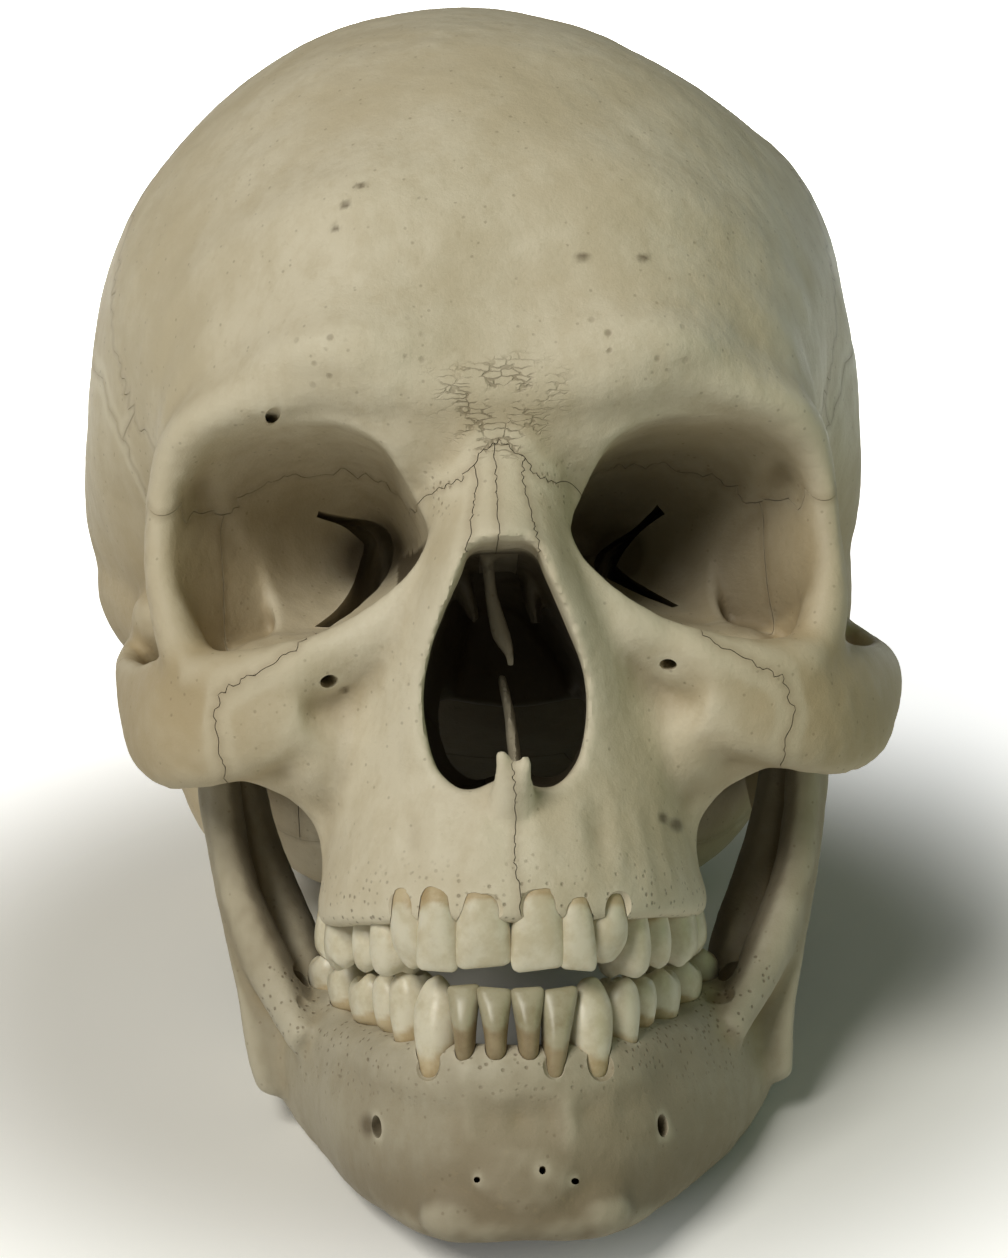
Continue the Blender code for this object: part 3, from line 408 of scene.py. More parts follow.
def fused(obj, voxel, rounds):
    """Fuses overlapping bodies into one skin of even voxels, and softens it."""
    remesh = obj.modifiers.new("fuse", "REMESH")
    remesh.mode = "VOXEL"
    remesh.voxel_size = voxel * MM
    soften = obj.modifiers.new("soften", "SMOOTH")
    soften.factor = 0.5
    soften.iterations = rounds
    return applied(obj)


def combined(obj, other, operation):
    """Applies one Boolean to the object, and removes the other."""
    boolean = obj.modifiers.new("combine", "BOOLEAN")
    boolean.operation = operation
    boolean.solver = "MANIFOLD"
    boolean.object = other
    applied(obj)
    bpy.data.objects.remove(other)
    return obj


def points_of(obj):
    """The mesh's points in millimetres."""
    co = np.empty(len(obj.data.vertices) * 3)
    obj.data.vertices.foreach_get("co", co)
    return co.reshape(-1, 3) / MM


def set_points(obj, points):
    """Moves the mesh's points, given in millimetres."""
    obj.data.vertices.foreach_set("co", (points * MM).ravel())
    obj.data.update()


def normals_of(obj):
    """The outward directions at the mesh's points."""
    found = np.empty(len(obj.data.vertices) * 3)
    obj.data.vertices.foreach_get("normal", found)
    return found.reshape(-1, 3)


# The bones' surface. It is never a plain curve: muscles, vessels and sutures leave low ridges and hollows in
# it, the two halves differ a little, and old dry bone is worn and slightly uneven everywhere.
VAULT_LEAN = -2.2
ARCH_LEAN = 2.4
JAW_LEAN = 1.2
# Height and spread of the humps that wear has left, from broad to fine.
WEAR = [(0.16, 16), (0.07, 6), (0.03, 2.6)]
CRANIUM_DABS = [
    ((62, -44, 30), (26, 28, 34), (-4, 0, 0)), ((64, 14, 24), (30, 46, 30), (3.5, 0, 0)),
    ((0, -10, 120), (80, 80, 22), (0, 0, 1.2)), ((60, -20, 84), (34, 40, 34), (1.5, 0, 1.0)),
    ((24, -84, -10), (9, 14, 11), (0, 3.0, 0)), ((0, -92, 50), (22, 14, 12), (0, 1.5, 0)),
    ((27, -88, 66), (26, 22, 22), (0, -2.2, 0)), ((58, 25, 76), (36, 44, 38), (4.0, 0, 2.5)),
    ((0, -20, 120), (70, 60, 10), (0, 0, 0.8)),
]
ONE_SIDED_DABS = [
    ((-34, -25, 106), (44, 60, 26), (-0.5, 0, 1.8)), ((62, -5, 84), (30, 50, 30), (2.0, 0, 0)),
]
FINE_DABS = [
    ((19, -88, 37), (13, 10, 6), (0, -1.0, 0)), ((30, -84, 45), (18, 10, 6), (0, 0.7, 0)),
    ((42, -72, -9), (8, 8, 6), (0, -0.8, 0)), ((50, -64, -14), (7, 8, 6), (0.5, -0.6, 0)),
    ((0, -90, 29), (7, 8, 5), (0, 1.0, 0)), ((14, -88, -32), (4, 8, 8), (0, 0.9, 0)),
]


def around(points, centre, reach, flat=0.0):
    """1 at the centre and up to the flat share of the reach, and 0 from the reach on."""
    away = np.sqrt((((points - np.array(centre, float)) / np.array(reach, float)) ** 2).sum(1))
    return 1 - smoothstep(flat, 1, away)


def pushed(obj, dabs, both=True):
    """Moves the skin softly. A dab is a centre, a reach and a move; both adds its mirror image."""
    points = points_of(obj)
    for centre, reach, move in dabs:
        for side in ((1, -1) if both and centre[0] else (1,)):
            c = np.array((centre[0] * side, *centre[1:]), float)
            m = np.array((move[0] * side, *move[1:]), float)
            near = np.all(np.abs(points - c) < reach, axis=1)
            points[near] += around(points[near], c, reach)[:, None] * m
    set_points(obj, points)


def neighbours_of(obj):
    """The two ends of every edge, and how many edges each point has."""
    ends = np.empty(len(obj.data.edges) * 2, dtype=np.int64)
    obj.data.edges.foreach_get("vertices", ends)
    a, b = ends.reshape(-1, 2).T
    size = len(obj.data.vertices)
    count = np.bincount(a, minlength=size) + np.bincount(b, minlength=size)
    return a, b, np.maximum(count, 1)[:, None]


def softened(points, neighbours, rounds, share):
    """The points drawn towards the mean of their neighbours, again and again."""
    a, b, count = neighbours
    soft = points.copy()
    size = len(soft)
    for _ in range(rounds):
        total = [np.bincount(a, soft[b, k], size) + np.bincount(b, soft[a, k], size) for k in range(3)]
        soft += share * (np.stack(total, axis=1) / count - soft)
    return soft


def eased(obj, centre, reach, rounds):
    """Takes the ridges between the fused rods out of a part of the skin."""
    points = points_of(obj)
    share = 0.6 * around(points, centre, reach, 0.55)[:, None]
    set_points(obj, softened(points, neighbours_of(obj), rounds, share))


def ripples(points, size, seed):
    """Smooth unevenness between -1 and 1 whose humps are about size apart."""
    rng = np.random.default_rng(seed)
    found = np.zeros(len(points))
    for _ in range(14):
        way = rng.normal(size=3)
        way /= np.linalg.norm(way)
        pace = 2 * math.pi / (size * rng.uniform(0.75, 1.6))
        start = rng.uniform(0, 6.28)
        found += np.sin(points @ way * pace + start + 1.1 * np.sin(points @ rng.normal(size=3) / size))
    return found / 5.0


def worn(obj, seed):
    """Low unevenness all over the skin."""
    points, out = points_of(obj), normals_of(obj)
    rough = sum(high * ripples(points, size, seed + i) for i, (high, size) in enumerate(WEAR))
    set_points(obj, points + out * rough[:, None])
    return obj


def leaned(obj):
    """Shifts the parts behind the face a little to one side, as on the real skull."""
    points = points_of(obj)
    behind = smoothstep(-82, -35, points[:, 1])
    points[:, 0] += behind * (ARCH_LEAN + (VAULT_LEAN - ARCH_LEAN) * smoothstep(-8, 16, points[:, 2]))
    points[:, 0] += JAW_LEAN * smoothstep(62, 80, -points[:, 2])
    set_points(obj, points)
    return obj


FINE = 0.7


def cranium():
    """The cranium in one piece, not yet parted into its bones."""
    obj = fused(joined("cranium", cranium_masses()), 0.9, 16)
    eased(obj, (0, -72, 66), (70, 48, 32), 110)
    for side in (1, -1):
        eased(obj, (side * 40, -78, 46), (20, 20, 15), 60)
    pushed(obj, CRANIUM_DABS)
    pushed(obj, ONE_SIDED_DABS, both=False)
    for cutter in opening_cutters():
        combined(obj, cutter, "DIFFERENCE")
    fused(obj, FINE, 8)
    for side in (1, -1):
        eased(obj, (side * 49, -68, 20), (13, 14, 12), 30)
    slender = [tube("slender", s, (0, 1, 0)) for s in SPINE_PRONGS + NOSE_INSIDE]
    obj = fused(joined("cranium", [obj, *slender]), FINE, 2)
    pushed(obj, FINE_DABS)
    for cutter in fine_cutters():
        combined(obj, cutter, "DIFFERENCE")
    return worn(leaned(obj), 11)


# The lower jaw. One bone, the only one that moves in life: a bow that carries the lower teeth, a square
# chin, and on each side an upright plate that ends in two horns. The hinder horn sits in a hollow in front
# of the ear hole.
JAW_BODY = [
    (0.0, -85.5, -78.0, 6.0, 13.5), (8.0, -84.0, -78.0, 5.8, 13.5), (15.5, -78.5, -77.0, 5.6, 13.3),
    (21.0, -70.0, -75.5, 5.6, 13.2), (26.0, -59.0, -73.0, 5.8, 13.2), (31.0, -47.0, -69.0, 5.8, 13.5),
    (36.5, -35.0, -65.0, 5.2, 12.0), (41.5, -24.0, -62.0, 4.5, 9.0),
]
JAW_RIDGE = [
    (0.0, -88.2, -68.5, 4.4, 5.8), (6.5, -87.0, -68.5, 4.4, 5.8), (12.5, -83.5, -68.5, 4.6, 6.0),
    (17.5, -77.0, -67.8, 4.6, 6.0), (20.6, -70.0, -66.6, 4.8, 5.8), (25.0, -60.0, -65.6, 5.4, 6.0),
    (29.0, -50.0, -63.6, 5.4, 6.0), (33.5, -41.0, -61.2, 4.8, 5.8), (38.0, -34.0, -60.0, 4.0, 5.0),
]
JAW_BASE = [
    (0.0, -85.5, -88.5, 5.5, 3.6), (9.0, -83.5, -88.8, 5.4, 3.6), (16.5, -75.0, -87.0, 4.8, 3.6),
    (24.0, -59.0, -82.0, 4.4, 3.6), (32.0, -40.0, -74.8, 4.0, 3.6), (38.5, -24.0, -68.5, 3.6, 3.4),
    (43.0, -13.0, -63.0, 3.2, 3.2),
]
RAMUS_OUTLINE = [
    (-44, -56), (-42.5, -44), (-40.5, -32), (-40, -20), (-41, -8), (-40, 0), (-36.5, 3), (-33.5, -2),
    (-30, -9), (-25, -14), (-20, -14), (-16.5, -10), (-14, -7), (-9, -7), (-7, -12), (-6.5, -25),
    (-6, -40), (-7, -52), (-11, -61), (-20, -67), (-32, -71), (-42, -72),
]
RAMUS_FRONT = [
    (49.0, -39.5, -4.0, 2.2, 2.4), (48.0, -40.5, -20.0, 2.9, 3.0), (46.4, -42.0, -34.0, 3.3, 3.4),
    (43.6, -43.5, -44.0, 3.8, 3.8), (40.6, -45.5, -51.0, 4.0, 4.2), (36.8, -49.0, -58.0, 3.6, 4.4),
    (33.0, -54.0, -64.0, 3.0, 4.0),
]
RAMUS_CREST = [
    (46.6, -31.5, -4.0, 2.6, 3.0), (45.2, -31.5, -18.0, 3.2, 3.2), (43.2, -31.5, -30.0, 3.8, 3.4),
    (40.6, -32.0, -40.0, 4.6, 3.8), (37.4, -34.5, -48.0, 4.8, 4.2), (34.8, -38.5, -55.0, 4.2, 4.4),
    (33.0, -43.0, -61.0, 3.8, 4.0),
]
CHIN_HOLES = [
    ((-21.8, -75.2), (-0.62, -0.78), (1.3, 1.7)), ((20.6, -76.4), (0.62, -0.78), (1.35, 1.6)),
    ((-7.2, -82.4), (0, -1), (0.5, 0.45)), ((2.4, -81.4), (0, -1), (0.45, 0.55)),
    ((7.2, -83.0), (0, -1), (0.6, 0.45)),
]
JAW_DABS = [
    ((0, -92, -74), (10, 8, 5), (0, 0.9, 0)), ((20, -82, -84), (9, 9, 8), (0, 0.7, 0)),
]


def ramus(side):
    """The upright plate behind the teeth, with its two horns. It leans outwards."""
    outline = spline(RAMUS_OUTLINE, 4, closed=True)
    middle = outline.mean(0)
    rings = []
    for off, inset in ((-1, 1.6), (-0.75, 0.4), (0, 0), (0.75, 0.4), (1, 1.6)):
        ring = []
        for point in outline:
            away = point - middle
            y, z = point - away / np.linalg.norm(away) * inset
            lean = np.interp(z, [-72, -58, -41, -23, 0], [40.6, 42.2, 46.2, 49.5, 50.6])
            thick = np.interp(z, [-70, -40, -15, 2], [3.4, 3.3, 2.9, 2.4])
            ring.append((side * (lean + off * thick), y, z))
        rings.append(ring)
    return loft("ramus", rings)


def mandible():
    """The lower jaw in one piece."""
    pieces = []
    for stations in (JAW_BODY, JAW_RIDGE, JAW_BASE):
        pieces.append(tube("bow", [*mirrored(stations)[:0:-1], *stations]))
    for side in (1, -1):
        pieces.append(ramus(side))
        for stations in (RAMUS_FRONT, RAMUS_CREST):
            pieces.append(tube("edge", [(side * s[0], *s[1:]) for s in stations], (0, 1, 0)))
        condyle = [(side * 43.5, -12.5, -8, 3.0, 2.6), (side * 50, -11.5, -5.6, 4.2, 3.4),
                   (side * 57, -10.5, -7, 3.2, 2.6)]
        pieces.append(tube("condyle", condyle))
        pieces.append(ellipsoid("tubercle", (side * 9.0, -84.5, -87.6), (7, 5.6, 4.8)))
    pieces.append(ellipsoid("chin", (0, -87.5, -82), (9, 5, 9)))
    for x, y, face, neck, width in ((-2.9, -92.4, -2, -64.6, 5.0), (2.0, -92.4, 2, -64.9, 5.0),
                                    (-7.6, -91.4, -8, -64.5, 5.0), (6.4, -91.6, 6, -69.7, 5.2),
                                    (-13.0, -87.9, -28, -69.4, 7.0), (13.3, -87.9, 30, -70.4, 7.2),
                                    (-17.9, -81.2, -52, -63.2, 6.8), (18.8, -81.2, 54, -66.1, 6.8)):
        out = np.array([math.sin(math.radians(face)), -math.cos(math.radians(face))])
        rod = []
        for drop, thick in ((1.0, 0.34), (4.5, 0.38), (8.5, 0.34), (12.0, 0.2)):
            r = width * thick
            at = np.array([x, y]) - out * (r - 0.35 + 0.1 * drop)
            rod.append((*at, neck - drop, r, r))
        pieces.append(tube("root_bulge", rod, (0, 1, 0)))
    obj = fused(joined("mandible", pieces), 0.8, 12)
    pushed(obj, JAW_DABS)
    fused(obj, 0.6, 4)
    for (x, z), (ox, oy), (wide, high) in CHIN_HOLES:
        y = -79.5 if abs(x) > 15 else -91.0
        path = [(x - ox * 6, y - oy * 6, z - 1.0, wide * 0.8, high * 0.8), (x, y, z, wide, high),
                (x + ox * 6, y + oy * 6, z + 1.0, wide * 1.7, high * 1.5)]
        combined(obj, tube("hole", path, sides=20), "DIFFERENCE")
    return worn(leaned(obj), 23)


# The bones of the cranium. They meet at sutures, hairline joints without glue, which interlock like saw
# teeth on the vault and run nearly smooth on the temples and the face. The seams are cut with regions that
# follow them.
SEAM_GAP = 0.12
FRONTAL_OUTLINE = [
    (-18, 135), (-22, 110), (-30, 88), (-38, 64), (-45, 42), (-52, 33), (-58, 20), (-120, 20), (-120, 135),
]
FRONTAL_NOTCH = [
    (-11.2, -5), (-11.2, 19.8), (-5.6, 21.4), (-3, 25), (0, 27), (3, 25), (5.6, 21.6), (11.2, 20.0),
    (11.2, -5),
]
TEMPORAL_OUTLINE = [
    (-33, -70), (-33, 6), (-37, 16), (-41, 34), (-33, 47), (-18, 56), (2, 59), (20, 54), (33, 42),
    (40, 28), (46, 14), (41, 2), (36, -70),
]
PARIETAL_OUTLINE = [(-60, 44), (-42, 37), (-20, 26), (45, 6), (120, 6), (120, 140), (-60, 140)]
OCCIPITAL_STATIONS = [
    (-12, 12, -6, 12, -3), (20, 24, -2, 24, 4), (32, 47, 4, 47, 22), (46, 62, 12, 62, 60),
    (70, 62, 12, 62, 74), (130, 62, 14, 62, 84),
]
FACE_STATIONS = [(-90, 43, -57, -46.5), (-14, 43, -57, -46.5), (-10, 43, -58, -60), (70, 43, -58, -60)]
ZYGOMATIC_OUTLINE = [
    (33, 40), (29, 0), (31.5, -3.2), (36.5, -6.0), (43, -9.2), (44.4, -14), (43, -20), (42.5, -28),
    (42.5, -70), (110, -70), (110, 40),
]
NASALS_OUTLINE = [
    (-5.4, 9.6), (-4.9, 12), (-3.4, 21), (-3.8, 26), (-4, 34), (4, 34), (3.8, 26), (3.4, 21), (5.1, 12),
    (5.6, 9.6),
]
MIDFACE_LINE = [
    (-0.6, 60), (-0.6, 24), (-0.5, 11), (0.6, -22), (1.0, -28), (0.6, -36), (1.2, -41), (1.4, -46),
    (1.4, -90), (80, -90), (80, 60),
]


def wave(along, swing, pitch, seed):
    """The side steps of a suture: uneven teeth about pitch apart."""
    rng = random.Random(seed)
    a, b, c = (rng.uniform(0, 6.28) for _ in range(3))
    s = along + 0.5 * pitch * np.sin(2 * math.pi * along / (4.3 * pitch) + a)
    big = np.sin(2 * math.pi * s / pitch)
    big = np.sign(big) * np.abs(big) ** 0.6
    small = 0.4 * np.sin(2 * math.pi * s / (0.37 * pitch) + b)
    return swing * (big * (0.8 + 0.3 * np.sin(along / pitch + c)) + small)


def region(outline, plane, low, high, seam=None, cross=None):
    """A block over an outline in the yz, xz or xy plane. A seam (swing, pitch, seed) makes its sides wavy, and
    cross gives the levels between which the waves turn round, to follow a seam over the top as well."""
    p = np.array(outline, float)
    levels = np.array([low, high], float)
    if seam:
        swing, pitch, seed = seam
        step = pitch / 7
        edge = np.roll(p, -1, axis=0) - p
        far = np.abs(p).max(1) > 105
        found = []
        for i, (start, way) in enumerate(zip(p, edge)):
            length = np.linalg.norm(way)
            pieces = 1 if far[i] and far[(i + 1) % len(p)] else max(1, int(length / step))
            found += [start + way * k / pieces for k in range(pieces)]
        p = np.array(found)
        way = np.roll(p, -1, axis=0) - np.roll(p, 1, axis=0)
        way /= np.linalg.norm(way, axis=1)[:, None]
        side = np.stack([way[:, 1], -way[:, 0]], axis=1)
        along = np.concatenate([[0], np.cumsum(np.linalg.norm(np.diff(p, axis=0), axis=1))])
        shift = wave(along, swing, pitch, seed)[:, None] * side
        if cross:
            levels = np.arange(low, high + step, step)
    rings = []
    for level in levels:
        ring = p
        if seam and cross:
            share = float(smoothstep(cross[0], cross[1], abs(level)))
            ring = p + shift * share + side * (1 - share) * wave(np.array([level]), swing, pitch, seed + 1)
        elif seam:
            ring = p + shift
        flat = np.full(len(ring), level)
        columns = {"yz": (flat, ring[:, 0], ring[:, 1]), "xz": (ring[:, 0], flat, ring[:, 1]),
                   "xy": (ring[:, 0], ring[:, 1], flat)}[plane]
        rings.append(np.stack(columns, axis=1))
    return loft("region", rings)


def occipital_region():
    """The wedge behind the lambda-shaped seam, drawn forward under the skull's base."""
    rings = []
    share = np.linspace(0, 1, 150)[:, None]
    for y, low, corner, wide, tip in OCCIPITAL_STATIONS:
        swing = float(np.interp(y, [25, 45], [0.2, 1.5]))
        top = np.array([-2.0, tip])
        halves = []
        for side, seed in ((1, 5), (-1, 6)):
            path = top + (np.array([side * wide, corner]) - top) * share
            way = (path[-1] - path[0]) / np.linalg.norm(path[-1] - path[0])
            step = wave(share[:, 0] * 105, swing, 5.2, seed)
            path += np.outer(step * np.sin(share[:, 0] * math.pi) ** 0.3, (-way[1], way[0]))
            halves.append(path)
        ring = np.concatenate([halves[0], [[low, -80], [-low, -80]], halves[1][:0:-1]])
        rings.append([(x, y, z) for x, z in ring])
    return loft("region", rings)


def face_region():
    """Everything in front of the sphenoid and the middle of the cheek's arch."""
    rings = []
    for z, x, y, middle in FACE_STATIONS:
        half = [(100, -33), (56, -33), (50, -50), (x, y), (34, middle)]
        other = [(-a, b) for a, b in half[::-1]]
        rings.append([(a, b, z) for a, b in [*half, *other, (-100, -130), (100, -130)]])
    return loft("region", rings)


def box_region(x, y, z):
    """A block between the limits (low, high) given for each axis."""
    return region([(x[0], y[0]), (x[1], y[0]), (x[1], y[1]), (x[0], y[1])], "xy", *z)


def swollen(obj, by):
    """A copy of a region with every face moved out by a distance in millimetres."""
    shape = bmesh.new()
    shape.from_mesh(obj.data)
    bmesh.ops.triangulate(shape, faces=shape.faces)
    shape.normal_update()
    moves = [v.normal * (min(v.calc_shell_factor(), 2.0) * by * MM) for v in shape.verts]
    for v, move in zip(shape.verts, moves):
        v.co += move
    mesh = bpy.data.meshes.new("region")
    shape.to_mesh(mesh)
    shape.free()
    return added("region", mesh)


def largest(obj):
    """Keeps only the biggest closed surface."""
    mesh = obj.data
    ends = np.empty(len(mesh.edges) * 2, dtype=np.int64)
    mesh.edges.foreach_get("vertices", ends)
    ends = ends.reshape(-1, 2)
    label = np.arange(len(mesh.vertices))
    while True:
        low = np.minimum(label[ends[:, 0]], label[ends[:, 1]])
        new = label.copy()
        np.minimum.at(new, ends[:, 0], low)
        np.minimum.at(new, ends[:, 1], low)
        new = new[new]
        if np.array_equal(new, label):
            break
        label = new
    names, counts = np.unique(label, return_counts=True)
    if len(names) > 1:
        drop = np.flatnonzero(label != names[counts.argmax()])
        shape = bmesh.new()
        shape.from_mesh(mesh)
        shape.verts.ensure_lookup_table()
        bmesh.ops.delete(shape, geom=[shape.verts[i] for i in drop], context="VERTS")
        shape.to_mesh(mesh)
        shape.free()
    return obj


def part_off(body, piece_region, name):
    """Takes the bone inside the region off the body, with a hairline seam between the two."""
    piece = added(name, body.data.copy())
    combined(piece, swollen(piece_region, -SEAM_GAP / 2), "INTERSECT")
    combined(body, swollen(piece_region, SEAM_GAP / 2), "DIFFERENCE")
    bpy.data.objects.remove(piece_region)
    return largest(piece)


def bones_of(body):
    """Parts the cranium into its bones along the sutures."""
    frontal = region(FRONTAL_OUTLINE, "yz", -95, 95, (1.1, 4.6, 1), (26, 46))
    combined(frontal, region(FRONTAL_NOTCH, "xz", -125, -60, (0.3, 2.2, 2)), "DIFFERENCE")
    found = [part_off(body, frontal, "frontal"), part_off(body, occipital_region(), "occipital")]
    for side, end in ((1, "left"), (-1, "right")):
        block = region(TEMPORAL_OUTLINE, "yz", side * 36, side * 100, (0.5, 9.0, 3))
        found.append(part_off(body, block, f"temporal_{end}"))
    parietal = part_off(body, region(PARIETAL_OUTLINE, "yz", -95, 95), "parietal_right")
    middle = [(VAULT_LEAN, -80), (100, -80), (100, 140), (VAULT_LEAN, 140)]
    left = region(middle, "xy", -40, 150, (1.3, 4.8, 4), (88, 104))
    found.append(part_off(parietal, left, "parietal_left"))
    found.append(largest(parietal))
    face = part_off(body, face_region(), "maxilla_right")
    body.name = "sphenoid"
    found.append(largest(body))
    for side, end in ((1, "left"), (-1, "right")):
        outline = [(side * x, z) for x, z in ZYGOMATIC_OUTLINE]
        found.append(part_off(face, region(outline, "xz", -130, -20, (0.35, 3.6, 7)), f"zygomatic_{end}"))
    nasals = part_off(face, region(NASALS_OUTLINE, "xz", -130, -82.5, (0.18, 2.2, 8)), "nasal_right")
    found.append(part_off(nasals, region(MIDFACE_LINE, "xz", -130, -20, (0.16, 2.6, 9)), "nasal_left"))
    found.append(largest(nasals))
    found.append(part_off(face, box_region((-2.6, 3.4), (-80, -48), (-23.0, -6.5)), "vomer"))
    ethmoid = [(-16, 40), (-16, 11.5), (-3, 11.5), (-3, -6.4), (3, -6.4), (3, 11.5), (16, 11.5), (16, 40)]
    found.append(part_off(face, region(ethmoid, "xz", -76, -40), "ethmoid"))
    found.append(part_off(face, region(MIDFACE_LINE, "xz", -130, -20, (0.16, 2.6, 9)), "maxilla_left"))
    found.append(largest(face))
    return found


# The teeth. Each is dentine with a cap of white enamel over its crown. It stands in a socket of the jaw, and
# on this dry skull the gum is gone, so that the tan root shows between the enamel and the worn rim of bone.

# Kind, outermost point (x, y), degrees it faces from straight ahead, width, depth, level of the neck, level
# of the tip, and how far its root is pushed sideways.
UPPER_TEETH = [
    ("I", -4.4, -95.8, -2, 8.4, 7.0, -40.1, -51.6, 0.0),
    ("I", -11.8, -94.2, -14, 6.5, 6.2, -40.4, -52.0, 0.5),
    ("C", -16.7, -90.2, -38, 7.2, 8.0, -39.2, -51.5, 0.0),
    ("P", -21.0, -83.0, -60, 6.8, 9.0, -41.3, -52.5, 0.2),
    ("P", -24.0, -76.0, -70, 6.5, 9.0, -42.3, -51.9, 0.0),
    ("M", -28.6, -66.5, -76, 10.0, 11.0, -41.8, -51.4, 0.0),
    ("M", -30.6, -56.4, -82, 9.4, 10.6, -42.0, -50.4, 0.0),
    ("I", 3.9, -95.8, 3, 8.2, 7.0, -39.6, -52.2, 0.2),
    ("I", 10.5, -94.2, 16, 5.9, 6.0, -41.3, -52.4, -0.6),
    ("C", 16.2, -90.0, 36, 7.4, 8.0, -40.6, -51.5, -0.3),
    ("P", 20.9, -83.0, 58, 6.8, 9.0, -42.6, -53.6, 0.0),
    ("P", 24.8, -76.0, 70, 6.4, 9.0, -43.2, -52.5, 0.0),
    ("M", 29.8, -66.5, 76, 9.8, 11.0, -42.6, -52.0, 0.0),
    ("M", 32.2, -56.4, 82, 9.2, 10.6, -42.6, -50.8, 0.0),
]
LOWER_TEETH = [
    ("L", -2.9, -92.8, -2, 5.2, 6.0, -64.4, -54.6, 0.1),
    ("L", -7.7, -91.8, -8, 4.9, 6.2, -64.3, -54.1, 0.0),
    ("C", -13.2, -88.2, -28, 6.9, 7.6, -68.4, -52.9, 0.2),
    ("P", -17.9, -81.5, -52, 6.8, 7.8, -63.2, -52.5, 0.0),
    ("P", -21.0, -74.5, -66, 6.6, 8.2, -61.0, -52.8, 0.0),
    ("M", -24.8, -65.0, -72, 10.2, 9.8, -60.4, -53.5, 0.0),
    ("M", -28.6, -54.8, -75, 9.8, 9.8, -58.6, -51.8, 0.0),
    ("M", -32.0, -45.0, -76, 8.8, 9.0, -56.4, -50.6, 0.0),
    ("L", 2.2, -92.8, 2, 5.0, 6.0, -64.7, -54.7, 0.0),
    ("L", 7.4, -91.8, 8, 5.5, 6.2, -68.6, -54.9, -1.5),
    ("C", 13.5, -88.2, 30, 7.2, 7.6, -69.0, -53.6, -0.8),
    ("P", 18.9, -81.5, 54, 6.6, 7.8, -65.0, -54.3, 0.0),
    ("P", 22.4, -74.5, 68, 6.4, 8.2, -61.6, -54.4, 0.0),
    ("M", 26.8, -65.0, 72, 10.2, 9.8, -61.2, -53.8, 0.0),
    ("M", 31.2, -54.8, 75, 9.8, 9.8, -59.4, -52.9, 0.0),
    ("M", 34.8, -45.0, 76, 8.8, 9.0, -57.2, -51.4, 0.0),
]
# Of each kind: the way from the neck (0) to the tip (1), and the width and depth there.
TOOTH_FORMS = {
    "I": [(-0.6, 0.4, 0.3), (-0.3, 0.64, 0.6), (0.0, 0.79, 0.86), (0.2, 0.87, 0.95), (0.42, 0.94, 0.92),
          (0.66, 0.99, 0.74), (0.82, 1.0, 0.52), (0.91, 0.97, 0.38), (0.97, 0.88, 0.25), (1.0, 0.7, 0.13)],
    "L": [(-0.6, 0.4, 0.4), (-0.3, 0.52, 0.7), (0.0, 0.58, 0.9), (0.25, 0.65, 0.97), (0.5, 0.77, 0.92),
          (0.75, 0.93, 0.68), (0.9, 1.0, 0.44), (0.955, 0.97, 0.33), (0.985, 0.89, 0.23), (1.0, 0.74, 0.14)],
    "C": [(-0.6, 0.4, 0.4), (-0.3, 0.58, 0.7), (0.0, 0.72, 0.92), (0.25, 0.84, 1.0), (0.48, 0.98, 0.98),
          (0.7, 0.97, 0.8), (0.84, 0.78, 0.56), (0.93, 0.55, 0.38), (0.985, 0.32, 0.26), (1.0, 0.14, 0.14)],
    "P": [(-0.6, 0.42, 0.4), (-0.3, 0.6, 0.66), (0.0, 0.7, 0.86), (0.3, 0.86, 0.97), (0.55, 1.0, 1.0),
          (0.76, 0.96, 0.95), (0.9, 0.8, 0.84), (0.97, 0.6, 0.66), (1.0, 0.4, 0.46), (0.93, 0.08, 0.1)],
    "M": [(-0.6, 0.6, 0.5), (-0.3, 0.76, 0.74), (0.0, 0.84, 0.88), (0.3, 0.94, 0.97), (0.56, 1.0, 1.0),
          (0.78, 0.98, 0.96), (0.91, 0.9, 0.88), (0.98, 0.78, 0.76), (1.0, 0.64, 0.6), (0.86, 0.1, 0.1)],
}
ENAMEL_FROM = {"I": 0.2, "L": 0.42, "C": 0.3, "P": 0.24, "M": 0.24}


def heading(facing):
    """In plan, the ways out of the mouth and beside it for a tooth that faces so many degrees aside."""
    face = math.radians(facing)
    return np.array([math.sin(face), -math.cos(face)]), np.array([math.cos(face), math.sin(face)])


